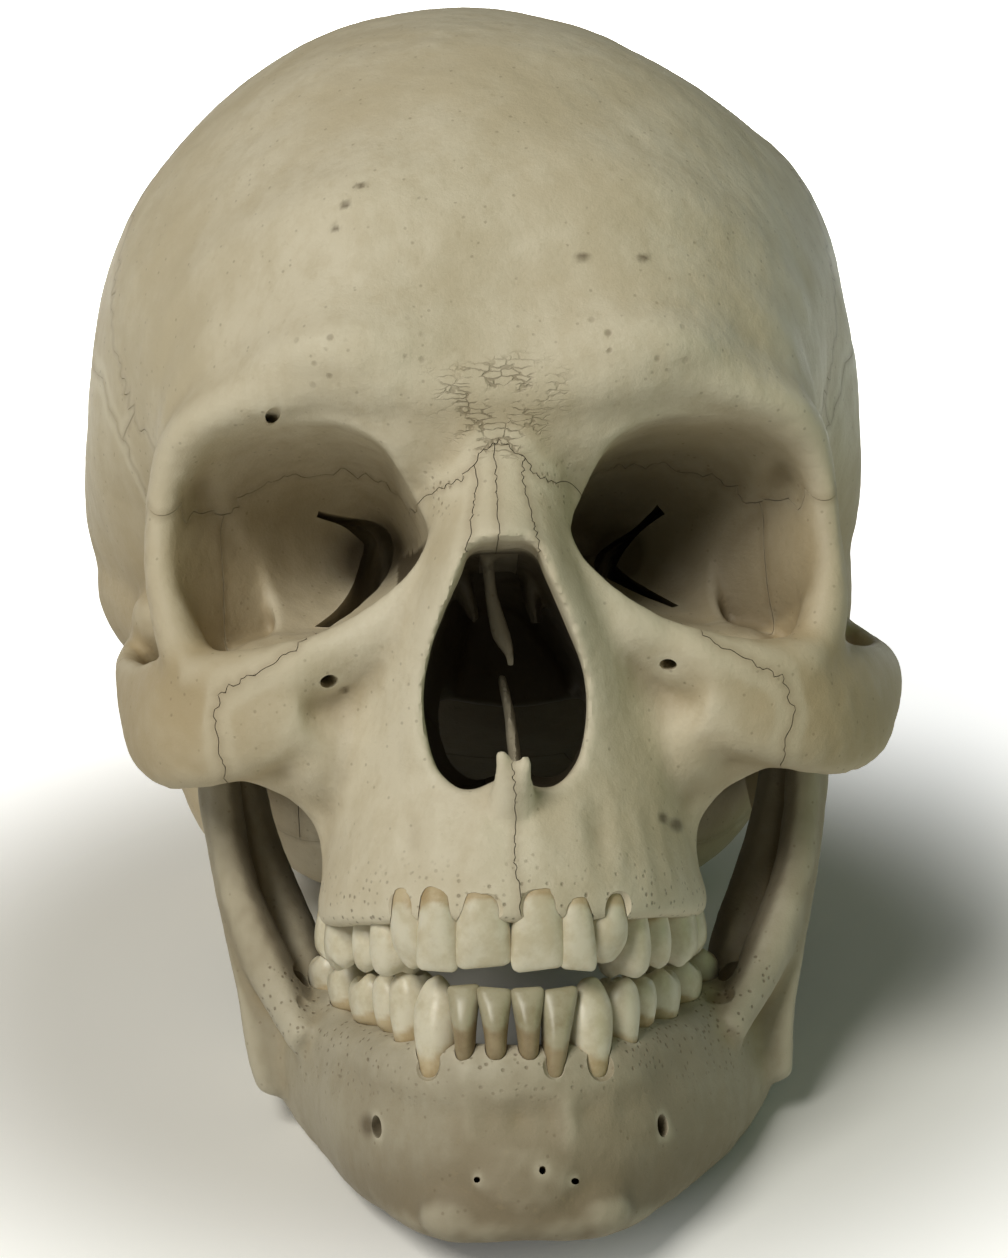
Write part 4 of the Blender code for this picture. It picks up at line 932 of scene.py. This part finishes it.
def tooth(name, row, spread=0.0):
    """One tooth from the end of its root to its tip. Spread makes it thicker all round, as for a socket."""
    kind, x, y, facing, width, depth, neck, tip, push = row
    form = spline(TOOTH_FORMS[kind], 4)
    tall = tip - neck
    out, beside = heading(facing)
    turn = np.linspace(0, 2 * math.pi, 36, endpoint=False)
    square = 0.92 if kind in "CP" else 0.78
    across = np.sign(np.cos(turn)) * np.abs(np.cos(turn)) ** square
    deep = np.sign(np.sin(turn)) * np.abs(np.sin(turn)) ** 0.9
    cusps = {"P": 0.9 * (np.abs(np.sin(turn)) - 0.6), "M": -0.55 * np.cos(4 * turn)}.get(kind, 0 * turn)
    rings = []
    for level, wide, thick in form:
        inward = 0.5 + 0.05 * (1 - max(level, 0)) + 0.9 * max(0.06 - level, 0)
        centre = np.array([x, y]) - out * depth * inward + beside * push * (1 - level)
        plan = (centre + beside * (across * (wide * width / 2 + spread))[:, None]
                + out * (deep * (thick * depth / 2 + spread))[:, None])
        rise = math.copysign(float(smoothstep(0.7, 1.0, level)), tall) * cusps
        tilted = 0.08 * math.sin(7 * x) * across * level * width / 2
        rings.append(np.column_stack([plan, neck + tall * level + rise + tilted]))
    obj = loft(name, rings)
    edge = ENAMEL_FROM[kind] + 0.07 * np.cos(2 * np.tile(turn, len(form)))
    marked(obj, "enamel", smoothstep(-0.04, 0.04, np.repeat(form[:, 0], 36) - edge))
    return obj


def gum_line(row):
    """The arch that the bone's rim leaves free in front of a tooth's neck."""
    kind, x, y, facing, width, _, neck, tip, push = row
    out, beside = heading(facing)
    tall, off = (2.6, 2.5) if kind in "PM" else (3.4, 1.3)
    half = 0.38 if kind == "C" else 0.43
    ball = ellipsoid("gum_line", (0, 0, 0), (1, 1, 1))
    p = points_of(ball)
    p = np.sign(p) * np.abs(p) ** 0.88 * (half * width, 2.8, tall)
    flat = np.array([x, y]) + out * off + beside * (p[:, :1] + push) - out * p[:, 1:2]
    set_points(ball, np.column_stack([flat, p[:, 2] + neck + math.copysign(tall, tip - neck)]))
    return ball


def marked(obj, name, values):
    """Stores a value for each point of the mesh, for its material to read."""
    mark = obj.data.attributes.new(name, "FLOAT", "POINT")
    mark.data.foreach_set("value", np.asarray(values, np.float32))


def teeth_in(bone, rows, first):
    """Cuts the sockets and the worn rim of bone around them, and stands the teeth in."""
    for row in rows:
        combined(bone, tooth("socket", row, 0.12), "DIFFERENCE")
        if row[0] not in "PM" or row[7] > row[6]:
            combined(bone, gum_line(row), "DIFFERENCE")
    return [tooth(f"tooth_{number:02d}", row) for number, row in enumerate(rows, first)]


# The skull is put together. The cranium is parted into its bones, the jaw hangs under it, the teeth go in,
# and the whole is tipped back until it rests on the jaw and the back of the head, as it lies on a table.
REST_TILT = 24.7
REST_PLACE = (2.277, 7.987)

bones = {bone.name.split(".")[0]: bone for bone in bones_of(cranium())}
jaw = bones["mandible"] = mandible()
teeth = teeth_in(bones["maxilla_right"], UPPER_TEETH[:7], 1)
teeth += teeth_in(bones["maxilla_left"], UPPER_TEETH[7:], 8)
teeth += teeth_in(jaw, LOWER_TEETH, 15)
for node, bone in bones.items():
    largest(bone)
    bone.name = f"{node}_bone"


SEAM_REACH = 1.6


def near_seams(found):
    """Marks how close each point is to another bone: 1 at the seam and 0 well away from it."""
    graph = bpy.context.evaluated_depsgraph_get()
    trees = {node: BVHTree.FromObject(bone, graph) for node, bone in found.items()}
    spans = {node: points_of(bone) for node, bone in found.items()}
    boxes = {node: (points.min(0) - SEAM_REACH, points.max(0) + SEAM_REACH) for node, points in spans.items()}
    for node, bone in found.items():
        points = spans[node]
        closest = np.full(len(points), SEAM_REACH)
        for other, (low, high) in boxes.items():
            if other != node:
                for i in np.flatnonzero(np.all((points > low) & (points < high), axis=1)):
                    distance = trees[other].find_nearest(bone.data.vertices[int(i)].co, SEAM_REACH * MM)[3]
                    if distance is not None:
                        closest[i] = min(closest[i], distance / MM)
        marked(bone, "seam", 1 - smoothstep(0.1, 1.5, closest))


# Dark nicks and specks on the forehead, a worn pit above the left molars and the darkening in and around the
# two holes of
# the chin: centre and reach of each.
SPOTS = [
    ((13.4, -88.5, 54.7), (1.8, 3, 0.8)), ((22.6, -87.2, 54.7), (1.6, 3, 0.8)),
    ((-22.4, -85, 64.3), (1.2, 3, 0.9)), ((-24, -85, 60.7), (1, 3, 0.8)),
    ((-20.1, -84.4, 67.3), (1.4, 3, 0.7)), ((-24.2, -77.4, -9.3), (1, 3, 0.8)),
    ((26.4, -73, -31), (3.2, 6, 1.6)), ((24, -78, -30), (1.8, 4, 1.2)),
    ((-21.8, -76, -75.2), (2.3, 6, 2.7)), ((20.6, -78, -76.4), (2.3, 6, 2.6)),
]

near_seams(bones)
for node, bone in bones.items():
    points = points_of(bone)
    x, y, z = points.T
    # Painted shade: points lying lower than their softened neighbours, in creases and hollows, are marked to
    # be darkened; points that stand out are marked to be paler, as rubbed by wear.
    dip = ((softened(points, neighbours_of(bone), 24, 0.6) - points) * normals_of(bone)).sum(1)
    marked(bone, "hollow", smoothstep(0.02, 0.5, dip))
    marked(bone, "edge", smoothstep(0.02, 0.4, -dip))
    # Painted shade: nearly black-brown deep in the nasal cavity, in the orbits (more in the skull's left one),
    # around the slits at the back of the orbits, and on the inner faces of the jaw's upright plates.
    nose = smoothstep(-86, -76, y) * (np.abs(x) < 16) * (z < 15) * (z > -29) * (y < 4)
    nose = nose * (0.72 if node in ("ethmoid", "vomer") else 1.0)
    orbit = np.hypot((np.abs(x) - 31) / 21, (z - 15) / 17)
    orbits = np.where(x > 0, 0.7, 0.2) * smoothstep(-80, -44, y) * (1 - smoothstep(0.98, 1.1, orbit))
    orbits = orbits * (y < -30) * smoothstep(-9, -2, z)
    slits = 1.4 * around(points, (-19.5, -39, 14.5), (10, 12, 10))
    slits = slits + around(points, (21.5, -38, 14), (7, 9, 8))
    inner = smoothstep(0.1, 0.6, -normals_of(bone)[:, 0] * np.sign(x))
    inner = 0.7 * inner * smoothstep(-62, -48, y) * smoothstep(-66, -54, z)
    lower = node == "mandible"
    marked(bone, "deep", np.clip(inner if lower else np.maximum(nose, orbits) + slits, 0, 1))
    crazed = around(points, (0, -91, 34), (15, 13, 8)) + around(points, (0, -90, 28), (10, 13, 6))
    marked(bone, "crazed", np.clip(1.4 * crazed, 0, 1))
    spots = sum(around(points, centre, reach) for centre, reach in SPOTS)
    marked(bone, "spots", np.clip(1.5 * spots, 0, 1))
    # Painted shade: this mark darkens the lower sides of the braincase, the jaw towards its bottom (a quarter
    # everywhere on the jaw), and a patch at the root of the nose.
    sides = smoothstep(20, 50, np.abs(x)) * smoothstep(44, 4, z) + 0.8 * smoothstep(-72, -90, z)
    sides = sides + 0.55 * around(points, (0, -90, 31), (20, 14, 12))
    marked(bone, "painted_side_and_base_shade", 0.25 + 0.75 * smoothstep(-72, -88, z) if lower else np.clip(sides, 0, 1))
    rims = smoothstep(-33, -43, z) * (z > -50) + smoothstep(-74, -64, z) * (z < -50)
    sutures = around(points, (10, -86, 20), (8, 10, 7)) + around(points, (-10, -86, 20), (8, 10, 7))
    marked(bone, "porous", np.clip((rims + sutures) * (y < -50), 0, 1))
    brows = around(points, (-20, -88, 40), (17, 14, 9)) + around(points, (20, -88, 41), (15, 14, 8))
    marked(bone, "brows", np.clip(brows, 0, 1))

turn = Matrix.Rotation(math.radians(-REST_TILT), 4, "X")
lowest = min((points_of(obj) @ np.array(turn.to_3x3()).T)[:, 2].min() for obj in bones.values())
rest = Matrix.Translation((REST_PLACE[0] * MM, REST_PLACE[1] * MM, -lowest * MM)) @ turn
for obj in [*bones.values(), *teeth]:
    obj.data.transform(rest)


# The finish of the bone: dry, matt and porous, ivory where it was cleaned, tan in patches, brown in the seams,
# crazed over the bridge of the nose, and with painted shade on the lower sides, under the jaw, in the hollows
# and deep in the cavities.
def add(tree, kind, takes=None, **settings):
    """A shader node with its properties and values set. Takes says what feeds its inputs."""
    made = tree.nodes.new("ShaderNode" + kind)
    for key, value in settings.items():
        if hasattr(made, key):
            setattr(made, key, value)
        else:
            made.inputs[key.replace("_", " ").title()].default_value = value
    for socket, output in (takes or {}).items():
        tree.links.new(output, made.inputs[socket])
    return made


def times(tree, value, by):
    """The value times a number or another value."""
    made = add(tree, "Math", {0: value}, operation="MULTIPLY", use_clamp=True)
    if isinstance(by, float):
        made.inputs[1].default_value = by
    else:
        tree.links.new(by, made.inputs[1])
    return made.outputs["Value"]


def noise_of(tree, scale, detail, roughness=0.5, upright=1.0):
    """A grain over the piece, drawn out along its height by an upright share below 1."""
    place = add(tree, "TexCoord").outputs["Object"]
    stretch = add(tree, "Mapping", {"Vector": place}, scale=(1.0, 1.0, upright)).outputs["Vector"]
    return add(tree, "TexNoise", {"Vector": stretch}, scale=scale, detail=detail,
               roughness=roughness).outputs["Fac"]


def mask_of(tree, value, low, high, **settings):
    """A value spread from 0 at low to 1 at high."""
    return add(tree, "MapRange", {"Value": value}, from_min=low, from_max=high, **settings).outputs["Result"]


def group_of(name, takes, gives):
    """An empty node group with named inputs and outputs."""
    tree = bpy.data.node_groups.new(name, "ShaderNodeTree")
    for title, value in takes:
        socket = tree.interface.new_socket(title, in_out="INPUT", socket_type="NodeSocketFloat")
        socket.default_value = value
    for title in gives:
        tree.interface.new_socket(title, in_out="OUTPUT", socket_type="NodeSocketFloat")
    return tree, tree.nodes.new("NodeGroupInput").outputs, tree.nodes.new("NodeGroupOutput").inputs


SOFT = {"interpolation_type": "SMOOTHSTEP"}
SOFT_DROP = {"to_min": 1.0, "to_max": 0.0, **SOFT}


def old_stain():
    """Soft patches of a darker tone over some centimetres, and small specks."""
    tree, given, result = group_of("old_stain", [("Patch Scale", 28.0), ("Speck Scale", 420.0)],
                                   ["Patches", "Specks"])
    place = add(tree, "TexCoord").outputs["Object"]
    for scale, output, low, high in (("Patch Scale", "Patches", 0.38, 0.68),
                                     ("Speck Scale", "Specks", 0.6, 0.74)):
        noise = add(tree, "TexNoise", {"Vector": place, "Scale": given[scale]}, detail=5.0, roughness=0.62)
        tree.links.new(mask_of(tree, noise.outputs["Fac"], low, high, **SOFT), result[output])
    return tree


def pores():
    """Pinholes, as a mask that is 1 in the holes. Only a share of the cells has one."""
    tree, given, result = group_of("pores", [("Scale", 700.0), ("Share", 0.5)], ["Holes"])
    place = add(tree, "TexCoord").outputs["Object"]
    cells = add(tree, "TexVoronoi", {"Vector": place, "Scale": given["Scale"]})
    draw = add(tree, "SeparateColor", {"Color": cells.outputs["Color"]}).outputs[0]
    chosen = add(tree, "Math", {0: given["Share"], 1: draw}, operation="GREATER_THAN").outputs["Value"]
    dot = mask_of(tree, cells.outputs["Distance"], 0.12, 0.32, **SOFT_DROP)
    tree.links.new(times(tree, dot, chosen), result["Holes"])
    return tree


def crazing():
    """Short wriggling cracks that run mostly from side to side, as a mask that is 1 in the cracks."""
    tree, given, result = group_of("crazing", [("Scale", 700.0)], ["Cracks"])
    place = add(tree, "TexCoord").outputs["Object"]
    stretch = add(tree, "Mapping", {"Vector": place}, scale=(0.42, 1.0, 1.25)).outputs["Vector"]
    bend = add(tree, "TexNoise", {"Vector": place}, scale=420.0, detail=2.0).outputs["Color"]
    bent = add(tree, "VectorMath", {0: bend, 2: stretch}, operation="MULTIPLY_ADD")
    bent.inputs[1].default_value = (0.002, 0.002, 0.002)
    lines = add(tree, "TexVoronoi", {"Vector": bent.outputs["Vector"], "Scale": given["Scale"]},
                feature="DISTANCE_TO_EDGE")
    thin = mask_of(tree, lines.outputs["Distance"], 0.02, 0.1, **SOFT_DROP)
    gaps = add(tree, "TexNoise", {"Vector": place}, scale=300.0, detail=2.0).outputs["Fac"]
    tree.links.new(times(tree, thin, mask_of(tree, gaps, 0.42, 0.56)), result["Cracks"])
    return tree


STAIN, PORES, CRAZING = old_stain(), pores(), crazing()


def mark_of(tree, name):
    """The output that reads a value stored on the mesh."""
    return add(tree, "Attribute", attribute_name=name).outputs["Fac"]


def laid_over(tree, under, colour, share):
    """A second colour over the first, by a mask."""
    made = add(tree, "MixRGB", {"Fac": share})
    for socket, item in (("Color1", under), ("Color2", colour)):
        if isinstance(item, tuple):
            made.inputs[socket].default_value = (*item, 1)
        else:
            tree.links.new(item, made.inputs[socket])
    return made.outputs["Color"]


def bumped(tree, shader, height, strength, distance):
    """Raises the shader's surface by a height."""
    bump = add(tree, "Bump", {"Height": height}, strength=strength, distance=distance)
    tree.links.new(bump.outputs["Normal"], shader.inputs["Normal"])


def ranged(tree, value, socket, low, high):
    """Drives a socket between two values."""
    made = add(tree, "MapRange", {"Value": value}, to_min=low, to_max=high)
    tree.links.new(made.outputs["Result"], socket)


def new_material(name):
    """A material with its tree and its shader."""
    material = bpy.data.materials.new(name)
    material.use_nodes = True
    return material, material.node_tree, material.node_tree.nodes["Principled BSDF"]


SPECK_BROWN = (0.36, 0.29, 0.17)
WORN_PALE = (0.74, 0.69, 0.55)
HOLLOW_SHADE_BROWN = (0.30, 0.23, 0.13)
SEAM_BROWN = (0.22, 0.15, 0.07)
PIT_BROWN = (0.13, 0.09, 0.045)
SPOT_BROWN = (0.10, 0.07, 0.035)
DEEP_SHADE_BROWN = (0.055, 0.038, 0.018)


def holes(tree, scale, share, where):
    """Pinholes of one size, kept where a mark allows them, or weakened by a number."""
    group = add(tree, "Group", node_tree=PORES, scale=scale, share=share)
    return times(tree, group.outputs["Holes"], where)


def dry_bone(name, light, tan, side_and_base_shade_tone, grain):
    """Matt, porous, stained bone, with painted shade laid over it in its hollows, on its lower sides and base,
    and deep in its cavities.
    """
    material, tree, shader = new_material(name)
    stain = add(tree, "Group", node_tree=STAIN, patch_scale=30.0, speck_scale=520.0).outputs
    cracks = add(tree, "Group", node_tree=CRAZING, scale=760.0).outputs["Cracks"]
    cracked = times(tree, cracks, mark_of(tree, "crazed"))
    porous = holes(tree, 860.0, 0.6, mark_of(tree, "porous"))
    pitted = holes(tree, 430.0, 0.36, mark_of(tree, "brows"))
    pricked = holes(tree, 900.0, 0.09, 0.3)
    streaks = mask_of(tree, noise_of(tree, 260.0, 6.0, 0.7, 0.4), 0.45, 0.75, to_max=0.8)
    colour = laid_over(tree, laid_over(tree, light, tan, stain["Patches"]), tan, streaks)
    # Laid over in turn: painted shade on the sides and base, specks, paler rubbed edges, painted shade in the
    # hollows, brown seams, pits and cracks, dark spots, and painted shade deep in the nose, the orbits and
    # inside the jaw.
    for tone, mask, share in ((side_and_base_shade_tone, mark_of(tree, "painted_side_and_base_shade"), 0.75), (SPECK_BROWN, stain["Specks"], 0.22),
                              (WORN_PALE, mark_of(tree, "edge"), 0.35),
                              (HOLLOW_SHADE_BROWN, mark_of(tree, "hollow"), 0.5),
                              (SEAM_BROWN, mark_of(tree, "seam"), 0.28),
                              (PIT_BROWN, porous, 0.55), (PIT_BROWN, cracked, 0.5),
                              (PIT_BROWN, pitted, 0.8), (PIT_BROWN, pricked, 1.0),
                              (SPOT_BROWN, mark_of(tree, "spots"), 0.75),
                              (DEEP_SHADE_BROWN, mark_of(tree, "deep"), 0.86)):
        colour = laid_over(tree, colour, tone, times(tree, mask, share))
    tree.links.new(colour, shader.inputs["Base Color"])
    ranged(tree, stain["Patches"], shader.inputs["Roughness"], 0.5, 0.68)
    shader.inputs["Specular IOR Level"].default_value = 0.35
    height = noise_of(tree, grain, 6.0, 0.65)
    for mask, depth in ((porous, -1.2), (cracked, -1.4), (pitted, -1.2), (pricked, -0.6)):
        lowered = add(tree, "Math", {0: mask, 2: height}, operation="MULTIPLY_ADD")
        lowered.inputs[1].default_value = depth
        height = lowered.outputs["Value"]
    bumped(tree, shader, height, 0.6, 0.00028)
    return material


# The jaw's copy of the finish is greyer, which is its own tone, and about a third darker, which is painted
# shade.
BONE = dry_bone("dry_bone", (0.65, 0.59, 0.455), (0.54, 0.47, 0.33), (0.42, 0.325, 0.185), 900.0)
SHADED_JAW_BONE = dry_bone("jaw_bone", (0.46, 0.42, 0.32), (0.36, 0.31, 0.215), (0.18, 0.14, 0.085), 700.0)
for node, bone in bones.items():
    bone.data.materials.clear()
    bone.data.materials.append(SHADED_JAW_BONE if node == "mandible" else BONE)
    bone.data.shade_smooth()
    bone.data.set_sharp_from_angle(angle=math.radians(42))
    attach(bone, "root")
    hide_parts(node)


# The finish of the teeth: enamel that lets a little light in and shines softly, over duller tan dentine. The
# lower incisors are worn and stained darker than the rest.
def tooth_finish(name, white, cream, root_light, root_dark):
    """Enamel on the crown and stained dentine on the root, with a soft border between."""
    material, tree, shader = new_material(name)
    stain = add(tree, "Group", node_tree=STAIN, patch_scale=230.0, speck_scale=900.0).outputs["Patches"]
    root = laid_over(tree, root_light, root_dark, stain)
    crown = laid_over(tree, white, cream, stain)
    tree.links.new(laid_over(tree, root, crown, mark_of(tree, "enamel")), shader.inputs["Base Color"])
    ranged(tree, mark_of(tree, "enamel"), shader.inputs["Roughness"], 0.58, 0.36)
    shader.inputs["Subsurface Weight"].default_value = 0.15
    shader.inputs["Subsurface Radius"].default_value = (0.0016, 0.0012, 0.0008)
    bumped(tree, shader, noise_of(tree, 1100.0, 4.0, upright=0.25), 0.3, 0.0001)
    return material


WHITE_ENAMEL = tooth_finish("upper_enamel", (0.70, 0.655, 0.52), (0.58, 0.52, 0.37),
                            (0.56, 0.46, 0.29), (0.42, 0.31, 0.165))
STAINED_ENAMEL = tooth_finish("lower_enamel", (0.42, 0.385, 0.27), (0.32, 0.28, 0.175),
                              (0.34, 0.27, 0.16), (0.25, 0.185, 0.10))
for row, piece in zip(UPPER_TEETH + LOWER_TEETH, teeth):
    piece.data.materials.append(STAINED_ENAMEL if row[0] == "L" else WHITE_ENAMEL)
    piece.data.shade_smooth()
    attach(piece, "root")


# The table that the skull lies on, a plain pale board, and the light: a broad soft lamp above and to the left
# in front, a weak green one from the right, a cool one far right behind, one that only lights the board at the
# back, and an even pale surround.
def table_top():
    """A wide flat board, lit from within for the camera all around the skull but not under it."""
    half = 4000
    corners = [(-half, -half, 0), (half, -half, 0), (half, half, 0), (-half, half, 0)]
    obj = make_object("table_top", corners, [(0, 1, 2, 3)])
    material, tree, shader = new_material("pale_board")
    pale = laid_over(tree, (0.9, 0.9, 0.89), (0.87, 0.87, 0.86), noise_of(tree, 6.0, 3.0))
    tree.links.new(pale, shader.inputs["Base Color"])
    shader.inputs["Roughness"].default_value = 0.9
    place = add(tree, "TexCoord").outputs["Object"]
    away = add(tree, "VectorMath", {0: place}, operation="LENGTH").outputs["Value"]
    glow = mask_of(tree, away, 0.075, 0.17, to_max=0.85, **SOFT)
    seen = add(tree, "LightPath").outputs["Is Camera Ray"]
    tree.links.new(times(tree, glow, seen), shader.inputs["Emission Strength"])
    shader.inputs["Emission Color"].default_value = (1.0, 1.0, 0.99, 1)
    obj.data.materials.append(material)
    return obj


def lamp(name, place, power, size, colour, target=(0.0, -0.03, 0.08)):
    """A square soft lamp that faces the middle of the skull, or another target."""
    light = bpy.data.lights.new(name, "AREA")
    light.energy = power
    light.size = size
    light.color = colour
    obj = added(name, light)
    obj.location = place
    aim = Vector(target) - Vector(place)
    obj.rotation_euler = aim.to_track_quat("-Z", "Y").to_euler()


table_top()
lamp("key", (-0.8, -1.05, 1.5), 25.5, 0.75, (1.0, 0.97, 0.88))
lamp("green_fill", (1.4, -0.6, 0.6), 1.6, 0.8, (0.66, 1.0, 0.42))
lamp("cool_edge", (1.3, 0.9, 0.45), 1.2, 0.6, (0.42, 0.62, 1.0))
lamp("backdrop_lamp", (0.0, 1.1, 1.0), 60.0, 1.4, (1.0, 1.0, 0.98), (0.0, 2.1, 0.0))
world = bpy.data.worlds.new("surround")
world.use_nodes = True
world.node_tree.nodes["Background"].inputs["Color"].default_value = (0.96, 0.97, 0.86, 1)
world.node_tree.nodes["Background"].inputs["Strength"].default_value = 0.08
bpy.context.scene.world = world
bpy.context.scene.view_settings.view_transform = "Standard"


# The camera, a long lens about half a metre in front of the face. It stands a little above the face and looks
# down at it along the jaw, turned and tilted as far as the photo's was.
CAMERA_TURN = (1.5, -5.0, -1.46)
CAMERA_SHIFT = (0.07, 450.0, -8.81)
CAMERA_AIM = (0.0, -85.0, -10.0)
FOCAL_LENGTH = 106.83


def camera():
    """Sets up the camera, which is placed on the upright skull and tipped back with it."""
    yaw, pitch, roll = (math.radians(a) for a in CAMERA_TURN)
    look = Matrix.Rotation(roll, 3, "Y") @ Matrix.Rotation(pitch, 3, "X") @ Matrix.Rotation(yaw, 3, "Z")
    back = look.transposed()
    place = Matrix.Translation((Vector(CAMERA_AIM) - back @ Vector(CAMERA_SHIFT)) * MM)
    lens = bpy.data.cameras.new("camera")
    lens.sensor_fit = "HORIZONTAL"
    lens.sensor_width = 36.0
    lens.lens = FOCAL_LENGTH
    lens.clip_start = 0.01
    obj = added("camera", lens)
    obj.matrix_world = rest @ place @ (back @ Matrix(((1, 0, 0), (0, 0, -1), (0, 1, 0)))).to_4x4()
    bpy.context.scene.camera = obj


camera()
